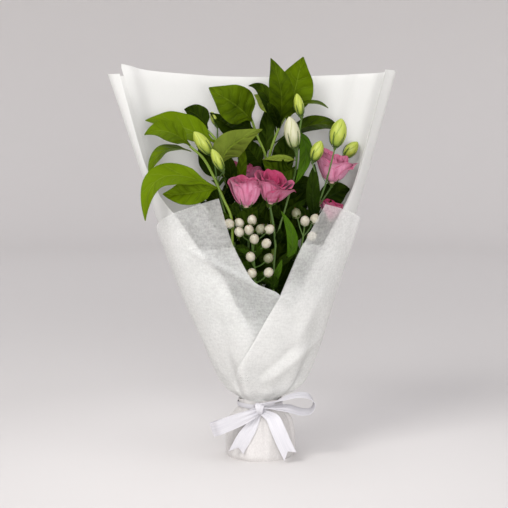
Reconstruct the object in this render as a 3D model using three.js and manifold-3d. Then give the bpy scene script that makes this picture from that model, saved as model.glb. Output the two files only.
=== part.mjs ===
import * as THREE from 'three';
import { mergeVertices } from 'three/addons/utils/BufferGeometryUtils.js';
import Module from 'manifold-3d';

// A wrapped, hand-tied lisianthus bouquet standing on its wrapped foot.
// Millimetres, +Z up, the open front of the paper faces -Y.
// The origin is the middle of the flat underside of the foot.

const wasm = await Module();
wasm.setup();

// Driving dimensions

const TIE_HEIGHT = 72;
const PAPER = 0.9;
const LEAF = 0.8;
const PETAL = 0.8;
const RIBBON = 1;
const RIBBON_WIDTH = 20;
const SEAT_GAP = 0.3;

const STEM_RING = 14.5;
const STEM_LEAN = 0.3;
const STEM_FOOT = 1.6;
const WOODY_STEM = 2.2;
const SOFT_STEM = 1.8;
const PEDICEL = 1.2;

const BERRY = 6;

const BLOOM_HEIGHT = 46;
const BLOOM_RADIUS = 23;
const BUD_HEIGHT = 37;
const BUD_RADIUS = 9.5;

// Colours and finishes

const finish = (color, roughness) => new THREE.MeshStandardMaterial({ color, roughness, metalness: 0 });
const WHITE_PAPER = finish(0xeae8e6, 0.7);
const VEIL_PAPER = finish(0xdedddc, 0.85);
const FOOT_PAPER = finish(0xf2eeeb, 0.75);
const SATIN = finish(0xebebf5, 0.35);
const BROAD_GREEN = finish(0x4a7a1e, 0.5);
const SOFT_GREEN = finish(0x5d8045, 0.6);
const PINK = finish(0xd985ad, 0.6);
const BUD_GREEN = finish(0xbecd6e, 0.55);
const BUD_WHITE = finish(0xebe8dc, 0.55);

// Places and smooth curves

const at = (x, y, z) => new THREE.Vector3(x, y, z);
const radians = THREE.MathUtils.degToRad;
const UP = at(0, 0, 1);

// A smooth value through [place, value] pairs, which never swings past them.
function through(knots) {
  const last = knots.length - 1;
  const rise = knots.slice(1).map((knot, i) => (knot[1] - knots[i][1]) / (knot[0] - knots[i][0]));
  const slopes = knots.map((_, i) => {
    const before = rise[Math.max(i - 1, 0)];
    const after = rise[Math.min(i, last - 1)];
    return before * after <= 0 ? 0 : (2 * before * after) / (before + after);
  });
  return place => {
    const x = THREE.MathUtils.clamp(place, knots[0][0], knots[last][0]);
    let i = 0;
    while (i < last - 1 && x > knots[i + 1][0]) i += 1;
    const span = knots[i + 1][0] - knots[i][0];
    const t = (x - knots[i][0]) / span;
    const ease = t * t * (3 - 2 * t);
    return knots[i][1] * (1 - ease) + knots[i + 1][1] * ease
      + slopes[i] * span * t * (1 - t) * (1 - t) - slopes[i + 1] * span * t * t * (1 - t);
  };
}

// Closed bodies

// A rows x columns grid of points, from a function of two numbers that run from 0 to 1.
function grid(rows, columns, place) {
  return Array.from({ length: rows + 1 }, (_, j) =>
    Array.from({ length: columns + 1 }, (_, i) => place(j / rows, i / columns)));
}

function signedVolume(positions, index) {
  let total = 0;
  for (let i = 0; i < index.length; i += 3) {
    const [a, b, c] = [0, 1, 2].map(k => new THREE.Vector3().fromArray(positions, 3 * index[i + k]));
    total += a.dot(b.cross(c)) / 6;
  }
  return total;
}

// A closed thin body between two grids of points, split alike on both faces.
function between(faceA, faceB) {
  const rows = faceA.length - 1;
  const columns = faceA[0].length - 1;
  const positions = [...faceA.flat(), ...faceB.flat()].flatMap(p => p.toArray());
  const place = (face, j, i) => face * (rows + 1) * (columns + 1) + j * (columns + 1) + i;
  const index = [];
  for (let j = 0; j < rows; j += 1) {
    for (let i = 0; i < columns; i += 1) {
      const [a, b, c, d] = [[j, i], [j, i + 1], [j + 1, i + 1], [j + 1, i]].map(([r, s]) => place(0, r, s));
      const lift = place(1, 0, 0);
      index.push(a, b, c, a, c, d);
      index.push(a + lift, c + lift, b + lift, a + lift, d + lift, c + lift);
    }
  }
  const wall = (p, q) => {
    const lift = place(1, 0, 0);
    index.push(q, p, p + lift, q, p + lift, q + lift);
  };
  for (let i = 0; i < columns; i += 1) {
    wall(place(0, 0, i), place(0, 0, i + 1));
    wall(place(0, rows, i + 1), place(0, rows, i));
  }
  for (let j = 0; j < rows; j += 1) {
    wall(place(0, j + 1, 0), place(0, j, 0));
    wall(place(0, j, columns), place(0, j + 1, columns));
  }
  if (signedVolume(positions, index) < 0) {
    for (let i = 0; i < index.length; i += 3) [index[i], index[i + 1]] = [index[i + 1], index[i]];
  }
  const geometry = new THREE.BufferGeometry();
  geometry.setAttribute('position', new THREE.Float32BufferAttribute(positions, 3));
  geometry.setIndex(index);
  return geometry;
}

// A blade: the grid thickened by half to each side along its own normals.
function blade(points, thickness) {
  const rows = points.length - 1;
  const columns = points[0].length - 1;
  const normal = (j, i) => {
    const along = points[Math.min(j + 1, rows)][i].clone().sub(points[Math.max(j - 1, 0)][i]);
    const across = points[j][Math.min(i + 1, columns)].clone().sub(points[j][Math.max(i - 1, 0)]);
    return along.cross(across).normalize();
  };
  const shifted = amount => points.map((row, j) =>
    row.map((p, i) => p.clone().addScaledVector(normal(j, i), amount)));
  return between(shifted(thickness / 2), shifted(-thickness / 2));
}

function cleaned(geometry) {
  const bare = geometry.clone();
  bare.deleteAttribute('normal');
  bare.deleteAttribute('uv');
  return mergeVertices(bare, 1e-4);
}

function solidFrom(geometry) {
  const merged = cleaned(geometry);
  return new wasm.Manifold(new wasm.Mesh({
    numProp: 3,
    vertProperties: new Float32Array(merged.getAttribute('position').array),
    triVerts: new Uint32Array(merged.getIndex().array),
  }));
}

function geometryFrom(solid) {
  const mesh = solid.getMesh();
  const geometry = new THREE.BufferGeometry();
  geometry.setAttribute('position', new THREE.BufferAttribute(Float32Array.from(mesh.vertProperties), 3));
  geometry.setIndex(new THREE.BufferAttribute(Uint32Array.from(mesh.triVerts), 1));
  return geometry;
}

// A round body from an outline of [radius, height] pairs, which ends on the axis or where it starts.
function turned(outline, sides) {
  return new THREE.LatheGeometry(outline.map(([r, z]) => new THREE.Vector2(r, z)), sides).rotateX(Math.PI / 2);
}

// What grows as one body is joined into one body.
function fused(geometries) {
  return geometryFrom(geometries.map(solidFrom).reduce((sum, next) => sum.add(next)));
}

// A body modelled upright on the origin, moved to a place and turned to an axis.
function planted(geometry, place, axis, turn = 0) {
  const spin = new THREE.Quaternion().setFromAxisAngle(UP, radians(turn));
  const lean = new THREE.Quaternion().setFromUnitVectors(UP, axis.clone().normalize());
  return geometry.clone().applyQuaternion(lean.multiply(spin)).translate(place.x, place.y, place.z);
}

// Paper: four sheets, one round the other, gathered at the tie and open at the front.
// The angle is 0 at the back, 90 at the right side and 180 at the front.

const middleX = through([[50, 0], [78, 0], [102, 4], [138, 3], [164, 2], [230, -3.5],
  [322, -7], [535, -11.5]]);
const halfWidth = through([[50, 19.5], [78, 19.5], [93, 39], [112, 51], [164, 74], [230, 99.5],
  [322, 132], [535, 192]]);
const frontDepth = through([[50, 19.5], [78, 19.5], [93, 30], [112, 38], [164, 52], [230, 62],
  [300, 69], [361, 66], [535, 60]]);
const backDepth = through([[50, 19.5], [78, 19.5], [93, 28], [112, 34], [164, 44], [322, 56], [535, 62]]);
const ply = through([[50, 1.4], [78, 1.4], [112, 2.2]]);

function paperPlace(degrees, z, outward) {
  const angle = radians(degrees);
  const depth = Math.cos(angle) < 0 ? frontDepth(z) : backDepth(z);
  const x = middleX(z) + (halfWidth(z) + outward) * Math.sin(angle);
  return at(x, (depth + outward) * Math.cos(angle), z);
}

// The rows of a sheet are level round the collar and fan out above it to its slanted top edge.
const COLLAR = [50, 78, 93, 112, 150];

// A height as a share of the way from the collar to the top edge.
function fanRows(top, shares) {
  const shoulder = COLLAR.at(-1);
  return shares.map(share => degrees => shoulder + (top(degrees) - shoulder) * share);
}

// Columns stay at fixed angles round the back and sides; the rest share what is left of each
// side up to its free edge. Two sheets that lie on each other share rows and columns.
const MIDDLE_COLUMNS = [-90, -75, -60, -40, -20, 0, 20, 40, 60, 75, 90];
const SIDE = 90;

// From the left flap's edge round the back to the right flap's edge, so that each sheet
// wound on these angles ends further out than it starts and its flaps pass each other.
const WHOLE_WIND = [-208, 226];

// A free edge's angle depends on the height and a slanted row's height on the angle.
const SETTLING_STEPS = 8;

function columnAngles(z, { left, right, leftColumns, rightColumns, skip = 0 }) {
  const past = (count, edge) => Array.from({ length: count - skip }, (_, k) =>
    ((k + 1) / count) * (edge - SIDE));
  const leftPart = past(leftColumns, left(z)).map(extra => -SIDE - extra).reverse();
  return [...leftPart, ...MIDDLE_COLUMNS, ...past(rightColumns, right(z)).map(extra => SIDE + extra)];
}

function paperSheet({ layer, wind, rows, ...ends }) {
  const heights = [...COLLAR.map(z => () => z), ...rows];
  const columns = columnAngles(0, ends).length;
  const face = extra => heights.map(height => Array.from({ length: columns }, (_, i) => {
    let z = COLLAR.at(-1);
    let degrees = 0;
    for (let step = 0; step < SETTLING_STEPS; step += 1) {
      degrees = columnAngles(z, ends)[i];
      z = height(degrees);
    }
    const wound = (degrees - WHOLE_WIND[0]) / (WHOLE_WIND[1] - WHOLE_WIND[0]);
    return paperPlace(degrees, z, (layer + wind * wound) * ply(z) + extra);
  }));
  return between(face(0), face(PAPER));
}

const backLeft = through([[50, 172], [170, 172], [229, 160], [252, 157], [299, 141], [337, 130],
  [364, 119], [416, 112], [530, 113]]);
const backRight = through([[50, 172], [140, 172], [229, 146], [258, 142], [285, 136], [311, 130],
  [341, 122], [385, 115], [530, 110]]);

function backSheets() {
  const shared = { wind: 0, left: backLeft, right: backRight, leftColumns: 5, rightColumns: 5 };
  const shares = [0.14, 0.27, 0.39, 0.52, 1];
  const innerTop = through([[-115, 538], [-60, 530], [0, 524], [60, 528], [112, 532]]);
  const outerTop = degrees => innerTop(degrees) - 5;
  return {
    back_sheet_inner: paperSheet({ ...shared, layer: 0, rows: fanRows(innerTop, shares) }),
    back_sheet_outer: paperSheet({ ...shared, layer: 1, skip: 4, rows: fanRows(outerTop, shares) }),
  };
}

const flapLeft = through([[50, 208], [180, 208], [233, 195], [249, 179], [263, 174], [307, 166],
  [361, 162]]);
const flapRight = through([[50, 226], [101, 226], [123, 210], [177, 183], [230, 165], [298, 153],
  [353, 142]]);

function frontSheets() {
  const shared = { wind: 2.5, left: flapLeft, right: flapRight, leftColumns: 7, rightColumns: 8 };
  const innerTop = through([[-172, 298], [-120, 284], [-90, 276], [0, 262], [90, 280], [152, 302]]);
  const innerRows = fanRows(innerTop, [0.3, 0.6, 1]);
  const outerTop = through([[-162, 361], [-120, 337], [-90, 319], [0, 294], [90, 331], [142, 353]]);
  return {
    front_sheet_inner: paperSheet({ ...shared, layer: 2, rows: innerRows }),
    front_sheet_outer: paperSheet({ ...shared, layer: 3, rows: [...innerRows, outerTop] }),
  };
}

// Foot: one more sheet folded flat under the stems and gathered under the ribbon

const footWidth = through([[0, 44], [8, 47], [25, 48], [50, 43], [60, 36], [67, 30], [77, 30], [84, 39.5]]);
const footDepth = through([[0, 49], [8, 51], [25, 50], [50, 43], [60, 36], [67, 30], [77, 30], [84, 39.5]]);
const FOOT_FOLDS = 10;
const FOLD_DEPTH = 0.5;
const FOOT_WALL = 1;
const FOOT_ROWS = [0, 10, 26, 44, 57, 67, 77, 84];
const FOOT_INSIDE_ROWS = [FOOT_WALL, 26, 44, 57, 67, 77, 84];

function footWrap() {
  const columns = 2 * FOOT_FOLDS;
  const ring = (z, inward) => Array.from({ length: columns }, (_, i) => {
    const angle = (2 * Math.PI * i) / columns;
    const fold = FOLD_DEPTH * Math.min(z / TIE_HEIGHT, 1) * (i % 2 ? 1 : -1);
    const reach = width => width - inward + fold;
    return at(reach(footWidth(z)) * Math.cos(angle), reach(footDepth(z)) * Math.sin(angle), z);
  });
  const outside = FOOT_ROWS.map(z => ring(z, 0));
  const inside = FOOT_INSIDE_ROWS.map(z => ring(z, FOOT_WALL));
  const loops = [...outside, ...inside.reverse()];
  const positions = [...loops.flat(), at(0, 0, 0), at(0, 0, FOOT_WALL)].flatMap(p => p.toArray());
  const index = [];
  for (let j = 0; j < loops.length - 1; j += 1) {
    for (let i = 0; i < columns; i += 1) {
      const [a, b] = [j * columns + i, j * columns + (i + 1) % columns];
      index.push(a, b, b + columns, a, b + columns, a + columns);
    }
  }
  const underMiddle = loops.length * columns;
  const lastLoop = underMiddle - columns;
  for (let i = 0; i < columns; i += 1) {
    const next = (i + 1) % columns;
    index.push(next, i, underMiddle);
    index.push(lastLoop + i, lastLoop + next, underMiddle + 1);
  }
  const geometry = new THREE.BufferGeometry();
  geometry.setAttribute('position', new THREE.Float32BufferAttribute(positions, 3));
  geometry.setIndex(index);
  return geometry;
}

// Ribbon: a band round the neck, a knot, two loops and two tails of one satin ribbon

const BAND_INSIDE = 31.4;
const BAND_OUTSIDE = 32.6;
const BAND_LOW = 67;
const BAND_HIGH = 77;
const BAND_SIDES = 20;
const KNOT = at(-1, -37.5, 71);
const KNOT_RADII = [9, 6.5, 8];

// Each station of a strip is its middle, the direction across it and its share of the width.

function ribbonStrip(stations) {
  const points = stations.map(([middle, across, share]) => [-0.5, 0.5].map(side =>
    middle.clone().addScaledVector(across.clone().normalize(), side * RIBBON_WIDTH * share)));
  return blade(points, RIBBON);
}

function ribbonBow() {
  const band = turned([[BAND_INSIDE, BAND_LOW], [BAND_OUTSIDE, BAND_LOW], [BAND_OUTSIDE, BAND_HIGH],
    [BAND_INSIDE, BAND_HIGH], [BAND_INSIDE, BAND_LOW]], BAND_SIDES);
  const knot = new THREE.SphereGeometry(1, 8, 6).scale(...KNOT_RADII).translate(...KNOT);
  const leftAcross = at(-0.33, 0, 0.95);
  const leftLoop = ribbonStrip([
    [at(0, -37, 69), leftAcross, 0.5], [at(-20, -46, 62), leftAcross, 0.8],
    [at(-44, -51, 53), leftAcross, 1], [at(-64, -48, 44), leftAcross, 1],
    [at(-64, -43, 43), leftAcross, 1], [at(-42, -42, 52), leftAcross, 0.9],
    [at(-20, -41, 61), leftAcross, 0.7], [at(0, -35, 70), leftAcross, 0.5],
  ]);
  const rightAcross = at(0.1, -0.95, 0.25);
  const rightLoop = ribbonStrip([
    [at(-2, -38, 74), rightAcross, 0.5], [at(14, -43, 80.5), rightAcross, 0.7],
    [at(28, -43, 87), rightAcross, 0.9], [at(52, -41, 93), rightAcross, 1],
    [at(67, -40, 90), rightAcross, 1], [at(74, -40, 79.5), rightAcross, 1],
    [at(69, -40, 69), rightAcross, 1], [at(57, -40, 67.5), rightAcross, 1],
    [at(38, -42, 74.5), rightAcross, 0.8], [at(16, -42, 73), rightAcross, 0.6],
    [at(-2, -37, 70), rightAcross, 0.5],
  ]);
  const rightTail = ribbonStrip([
    [at(2, -38, 68), at(0.8, 0, 0.5), 0.5], [at(17, -47, 60), at(0.9, 0, 0.42), 0.9],
    [at(24, -53, 46), at(0.95, 0, 0.3), 1], [at(32, -57, 28), at(0.93, 0, 0.38), 1],
    [at(41, -60, 10), at(0.62, 0, 0.78), 1],
  ]);
  const leftTail = ribbonStrip([
    [at(-4, -38, 68), at(0.9, 0, -0.3), 0.5], [at(-12, -47, 52), at(0.9, 0, -0.4), 0.8],
    [at(-22, -50, 36), at(0.93, 0, -0.35), 1], [at(-34, -47, 13), at(0.95, 0, -0.2), 1],
  ]);
  return fused([band, knot, leftLoop, rightLoop, rightTail, leftTail]);
}

// Stems

// A round stem along a smooth route, with a station about every pace of its length.
function tube(points, radius, sides = 5, pace = 40) {
  const section = new THREE.Shape(Array.from({ length: sides }, (_, i) => {
    const angle = (2 * Math.PI * i) / sides;
    return new THREE.Vector2(radius * Math.cos(angle), radius * Math.sin(angle));
  }));
  const path = new THREE.CatmullRomCurve3(points);
  const steps = Math.max(2, Math.round(path.getLength() / pace));
  return new THREE.ExtrudeGeometry(section, { steps, extrudePath: path, bevelEnabled: false });
}

// The stems cross at the tie as the poles of a tent do: below it each swings out to the foot,
// and above it each swings out to its own side. The turn is the side it comes to above the tie,
// and SPIRAL is how far round the ring it has to go from the tie to that side.
const SPIRAL = 56;
const SPIRAL_HEIGHTS = [STEM_FOOT, 40, 110, 150];

function throughTheTie(turn) {
  const throat = radians(turn - SPIRAL);
  const out = at(Math.cos(throat), Math.sin(throat), 0);
  const side = at(-out.y, out.x, 0);
  return SPIRAL_HEIGHTS.map(z => out.clone().multiplyScalar(STEM_RING)
    .addScaledVector(side, STEM_LEAN * (z - TIE_HEIGHT)).setZ(z));
}

// A side branch, with few sides and a station about every 30 mm.
const branch = (points, radius = PEDICEL) => tube(points, radius, 4, 30);

// A small green cup closes the stem just below a bloom or a bud, with narrow sepals round it.
const CUP_DROP = 6;
const SEPAL_TURN = 0.4;

function sepalCup({ seat, axis }, awl, sepals) {
  const cup = [[0, -CUP_DROP], [1.8, -CUP_DROP], [3.2, -SEAT_GAP], [0, -SEAT_GAP]];
  const pieces = [turned(cup, 6)];
  for (let k = 0; k < sepals; k += 1) {
    const angle = (2 * Math.PI * k) / sepals + SEPAL_TURN;
    const out = at(Math.cos(angle), Math.sin(angle), 0);
    const side = at(-out.y, out.x, 0);
    pieces.push(blade(awl.map(([r, z, width]) => [-0.5, 0.5].map(half =>
      out.clone().multiplyScalar(r).addScaledVector(side, half * width).setZ(z))), LEAF));
  }
  return pieces.map(piece => planted(piece, seat, axis));
}

// Leaves

const ovate = through([[0, 0.06], [0.1, 0.16], [0.22, 0.72], [0.42, 1], [0.62, 0.88], [0.84, 0.42],
  [1, 0.03]]);
const lance = through([[0, 0.25], [0.2, 0.8], [0.45, 1], [0.7, 0.78], [0.9, 0.34], [1, 0.05]]);

// The midrib bends from the base through the middle to the tip; the blade folds a little along it.
function leaf({ base, middle, tip, width, face, fold = 0.12, shape = ovate, steps = 4 }) {
  const bend = middle.clone().multiplyScalar(2).addScaledVector(base, -0.5).addScaledVector(tip, -0.5);
  const midrib = new THREE.QuadraticBezierCurve3(base, bend, tip);
  const points = grid(steps, 2, (t, s) => {
    const across = midrib.getTangent(t).cross(face).normalize();
    const normal = across.clone().cross(midrib.getTangent(t)).normalize();
    const half = (s - 0.5) * width * shape(t);
    const lift = Math.abs(half) * 2 * fold;
    return midrib.getPoint(t).addScaledVector(across, half).addScaledVector(normal, lift);
  });
  return blade(points, LEAF);
}

const TO_CAMERA = at(0, -0.95, 0.3);
const SKYWARD = at(0, -0.35, 0.94);

const broadLeaf = (base, middle, tip, width, face = TO_CAMERA) => leaf({ base, middle, tip, width, face });
const slimLeaf = (base, middle, tip, width, face = TO_CAMERA) =>
  leaf({ base, middle, tip, width, face, shape: lance, steps: 3, fold: 0.08 });

// Broad-leaved branches

function branchLeftFront() {
  return fused([
    tube([...throughTheTie(168), at(-36, -10, 205), at(-38, -32, 280), at(-39, -38, 333), at(-49, -36, 357),
      at(-62, -32, 386), at(-77, -28, 413), at(-95, -25, 429)], WOODY_STEM),
    broadLeaf(at(-55, -34, 371), at(-131, -54, 388), at(-153, -67, 331), 31, at(-0.25, -0.8, 0.5)),
    broadLeaf(at(-56, -34, 374), at(-97, -42, 366), at(-131, -45, 366), 32),
    broadLeaf(at(-91, -26, 426), at(-127, -38, 429), at(-146, -49, 396), 26, SKYWARD),
    broadLeaf(at(-93, -25, 428), at(-125, -32, 449), at(-155, -38, 444), 30, at(0, -0.85, 0.5)),
  ]);
}

function branchLeftBack() {
  return fused([
    tube([...throughTheTie(132), at(-25, 20, 230), at(-33, 12, 333), at(-47, 6, 382), at(-52, 0, 405),
      at(-59, 5, 434), at(-76, 16, 453)], WOODY_STEM, 5, 30),
    broadLeaf(at(-59, 5, 434), at(-109, 0, 458), at(-156, -12, 464), 34, at(0, -0.75, 0.6)),
    broadLeaf(at(-75, 15, 452), at(-84, 22, 470), at(-100, 26, 483), 30),
    broadLeaf(at(-52, 0, 404), at(-43, -20, 438), at(2, -28, 451), 44, at(0.2, -0.95, -0.1)),
    slimLeaf(at(-42, 9, 357), at(-27, -1, 392), at(-23, 1, 430), 16),
    broadLeaf(at(-32, 12, 327), at(-56, 14, 350), at(-80, 12, 372), 30),
  ]);
}

function branchBack() {
  return fused([
    tube([...throughTheTie(96), at(1, 30, 230), at(4, 32, 283), at(11, 30, 353), at(8, 26, 413),
      at(-4, 23, 442), at(-11, 20, 463)], WOODY_STEM),
    broadLeaf(at(-11, 20, 462), at(-38, 8, 490), at(-70, 2, 508), 40),
    broadLeaf(at(-5, 23, 444), at(-36, 32, 464), at(-59, 32, 466), 26),
    broadLeaf(at(8, 26, 410), at(9, 37, 450), at(11, 36, 486), 20),
    broadLeaf(at(6, 32, 300), at(-20, 33, 325), at(-44, 34, 350), 34),
  ]);
}

function branchRightBack() {
  return fused([
    tube([...throughTheTie(60), at(18, 24, 230), at(17, 22, 300), at(14, 20, 353), at(12, 14, 409),
      at(27, 12, 455), at(42, 14, 480)], WOODY_STEM),
    broadLeaf(at(27, 12, 455), at(28, -8, 503), at(15, 2, 548), 32),
    broadLeaf(at(40, 14, 476), at(60, 24, 508), at(60, 18, 549), 32),
    slimLeaf(at(26, 12, 452), at(19, -8, 474), at(10, -14, 487), 14, at(-0.3, -0.9, 0.2)),
    broadLeaf(at(22, 13, 442), at(12, 20, 492), at(-14, 26, 508), 18),
    slimLeaf(at(41, 14, 478), at(70, 6, 488), at(93, 2, 480), 15, SKYWARD),
    broadLeaf(at(20, 13, 436), at(76, 4, 466), at(110, 0, 450), 28, at(0, -0.65, 0.75)),
    broadLeaf(at(17, 22, 300), at(42, 24, 325), at(68, 22, 352), 34),
    broadLeaf(at(14, 20, 345), at(38, 22, 374), at(64, 16, 396), 34),
  ]);
}

// Lisianthus: each stem carries its cups, and the blooms and buds stand on them.

const blooms = {
  bloom_left: { seat: at(-23, -32, 347), axis: at(0.03, -0.2, 1), turn: 10, size: 1 },
  bloom_middle: { seat: at(18, -34, 351), axis: at(0.42, -0.22, 0.9), turn: 40, size: 1 },
  bloom_right: { seat: at(101, -4, 378), axis: at(0.16, -0.1, 0.97), turn: 22, size: 1 },
  bloom_low: { seat: at(95, -14, 323), axis: at(0.15, -0.1, 0.9), turn: 0, size: 0.64, rings: 1 },
  bloom_back: { seat: at(-27, 30, 367), axis: at(0.02, -0.1, 1), turn: 30, size: 0.95, rings: 1 },
};

const buds = {
  bud_left_high: { seat: at(-67, -36, 420), axis: at(-23, -6, 30), size: 0.98, slim: 0.9 },
  bud_left_low: { seat: at(-51, -49, 399), axis: at(-13, -5, 26), size: 0.8, slim: 0.95 },
  bud_top: { seat: at(54, -18, 471), axis: at(-6, -2, 29), size: 0.78, slim: 0.92 },
  bud_white: { seat: at(45, -36, 427), axis: at(-8, -4, 41), size: 1.14, slim: 1 },
  bud_right_high: { seat: at(99, -36, 429), axis: at(8, -4, 37), size: 1, slim: 1.12 },
  bud_right_front: { seat: at(71, -32, 411), axis: at(9, -4, 24), size: 0.74, slim: 1.15 },
  bud_right_back: { seat: at(115, 24, 414), axis: at(16, -2, 19), size: 0.7, slim: 1.2 },
  bud_small: { seat: at(-61, 36, 458), axis: at(-6, 0, 16), size: 0.5, slim: 1 },
};

function cupUnder(name, sepals) {
  const bloom = blooms[name];
  if (bloom) {
    const awl = [[2.2, -2.5, 2.2], [13.5, 2, 1.8], [20, 11, 0.8]];
    return sepalCup(bloom, awl.map(([r, z, width]) => [r * bloom.size, z * bloom.size, width]), sepals ?? 5);
  }
  const bud = buds[name];
  const height = BUD_HEIGHT * bud.size;
  const radius = BUD_RADIUS * bud.size * bud.slim;
  const awl = [[2.2, -2.5, 2], [0.9 * radius + 1.4, 0.12 * height, 1.8], [radius + 1.7, 0.5 * height, 0.8]];
  return sepalCup(bud, awl, sepals ?? 3);
}

// The end of a stem, just inside the cup that it carries.
function under(name) {
  const { seat, axis } = blooms[name] ?? buds[name];
  return seat.clone().addScaledVector(axis.clone().normalize(), 1 - CUP_DROP);
}

function flowerStem(name, route, parts) {
  return { [name]: fused([tube(route, SOFT_STEM), ...parts.flat()]) };
}

function flowerStems() {
  return {
    ...flowerStem('flower_stem_left', [...throughTheTie(204), at(-30, -14, 230), at(-36, -14, 300),
      at(-50, -15, 345), at(-58, -21, 378)], [
      branch([at(-57, -20, 374), at(-55, -36, 387), under('bud_left_low')]),
      branch([at(-58, -21, 377), at(-61, -33, 402), under('bud_left_high')]),
      cupUnder('bud_left_low'), cupUnder('bud_left_high'),
    ]),
    ...flowerStem('flower_stem_front', [...throughTheTie(240), at(-20, -28, 230), at(-23, -31, 300),
      under('bloom_left')], [
      branch([at(-20, -28, 232), at(-16, 2, 300), at(-22, 22, 345), under('bloom_back')], SOFT_STEM),
      branch([at(-20, 17, 332), at(-47, 43, 372), at(-59, 43, 412), under('bud_small')]),
      cupUnder('bloom_left'), cupUnder('bloom_back', 0), cupUnder('bud_small', 0),
    ]),
    ...flowerStem('flower_stem_middle', [...throughTheTie(312), at(18, -25, 230), at(22, -22, 300),
      at(36, -13, 350), at(48, -11, 395), at(52, -13, 440), under('bud_top')], [
      branch([at(21, -24, 292), at(18, -30, 322), under('bloom_middle')], SOFT_STEM),
      branch([at(47, -11, 388), at(49, -24, 408), under('bud_white')]),
      cupUnder('bloom_middle'), cupUnder('bud_white'), cupUnder('bud_top'),
      slimLeaf(at(52, -13, 442), at(64, -20, 412), at(56, -17, 382), 17, at(-0.1, -0.95, 0.2)),
      slimLeaf(at(49, -11, 402), at(27, -2, 402), at(3, 3, 412), 32, at(0, -1, -0.2)),
      slimLeaf(at(21, -24, 285), at(43, -46, 310), at(30, -50, 343), 13),
      slimLeaf(at(19, -25, 245), at(24, -42, 260), at(29, -50, 278), 9),
    ]),
    ...flowerStem('flower_stem_right', [...throughTheTie(24), at(46, 0, 220), at(62, -12, 290),
      at(74, -21, 340)], [
      branch([at(73, -21, 338), at(87, -14, 358), under('bloom_right')]),
      branch([at(74, -21, 339), at(86, -35, 372), at(94, -40, 402), under('bud_right_high')]),
      branch([at(73, -20, 336), at(78, -29, 380), under('bud_right_front')]),
      branch([at(72, -20, 334), at(98, 22, 372), under('bud_right_back')]),
      branch([at(64, -14, 297), at(77, -18, 312), under('bloom_low')]),
      cupUnder('bloom_right'), cupUnder('bud_right_high'), cupUnder('bud_right_front'),
      cupUnder('bud_right_back'), cupUnder('bloom_low', 0),
      slimLeaf(at(72, -20, 332), at(66, -33, 372), at(69, -27, 405), 16),
      slimLeaf(at(97, 20, 371), at(104, 13, 366), at(117, 7, 360), 15),
      broadLeaf(at(61, -11, 286), at(82, 4, 310), at(102, 8, 335), 26),
    ]),
  };
}

const RIM_ROLL = 1.2;

// A petal of the cup-shaped bloom: it narrows to the base, stands up round the middle
// and rolls out at its rim; one side lies over its neighbour and the other side under.
function petal({ angle, radius, height, width, lap, rows, columns }) {
  const spread = through([[0, 0.14], [0.25, 0.55], [0.6, 0.92], [1, 1.06]]);
  const climb = through([[0, 0], [0.25, 0.13], [0.6, 0.52], [1, 1]]);
  const breadth = through([[0, 0.06], [0.33, 0.68], [0.67, 1], [1, 0.66]]);
  const points = grid(rows, columns, (t, s) => {
    const side = 2 * s - 1;
    const roll = RIM_ROLL * t ** 3 * Math.cos(2 * Math.PI * side);
    const reach = radius * spread(t) + lap * side * Math.min(1, 3 * t) + roll;
    const turn = angle + side * Math.min(1.25, (0.5 * width * breadth(t)) / Math.max(reach, 2.5));
    const dip = 0.08 * height * t * t * side * side;
    return at(reach * Math.cos(turn), reach * Math.sin(turn), 1.5 + height * climb(t) - dip);
  });
  return blade(points, PETAL);
}

// The small solid middle that the petals grow out of, as an outline.
const BLOOM_CORE = [[0, 0], [3.4, 0], [3.8, 2.2], [0, 5]];

function bloomBody({ seat, axis, turn, size, rings = 2 }) {
  const outer = { radius: BLOOM_RADIUS, height: BLOOM_HEIGHT - 2, width: 34, lap: 1.8 };
  const inner = { radius: 14, height: BLOOM_HEIGHT - 6, width: 31, lap: 1.6 };
  const layers = [
    { count: 5, shift: 0, rows: rings + 1, columns: rings + 1, ...outer },
    { count: 3, shift: 0.6, rows: 2, columns: 2, ...inner },
  ].slice(0, rings);
  const petals = layers.flatMap(({ count, shift, ...ring }) =>
    Array.from({ length: count }, (_, k) => petal({ ...ring, angle: (2 * Math.PI * k) / count + shift })));
  const bloom = fused([turned(BLOOM_CORE, 5), ...petals]).scale(size, size, size);
  return planted(bloom, seat, axis, turn);
}

// A bud: closed petals wound round each other, which show as five slanted ridges.
const BUD_OUTLINE = [[0, 0], [0.42, 0.02], [0.82, 0.2], [1, 0.44], [0.86, 0.7], [0.48, 0.92],
  [0.14, 1], [0, 1]];
const RIDGE_HEIGHT = 0.06;
const RIDGE_TWIST = 1.4;

function budBody({ seat, axis, size, slim }) {
  const height = BUD_HEIGHT * size;
  const radius = BUD_RADIUS * size * slim;
  const body = cleaned(turned(BUD_OUTLINE.map(([r, z]) => [r * radius, z * height]), 10));
  const places = body.getAttribute('position');
  for (let i = 0; i < places.count; i += 1) {
    const [x, y, z] = [places.getX(i), places.getY(i), places.getZ(i)];
    const ridge = 1 + RIDGE_HEIGHT * Math.cos(5 * (Math.atan2(y, x) - (RIDGE_TWIST * z) / height));
    places.setXY(i, x * ridge, y * ridge);
  }
  return planted(body, seat, axis);
}

// Hypericum: a green stem with a white berry at the end of each short branch

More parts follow.
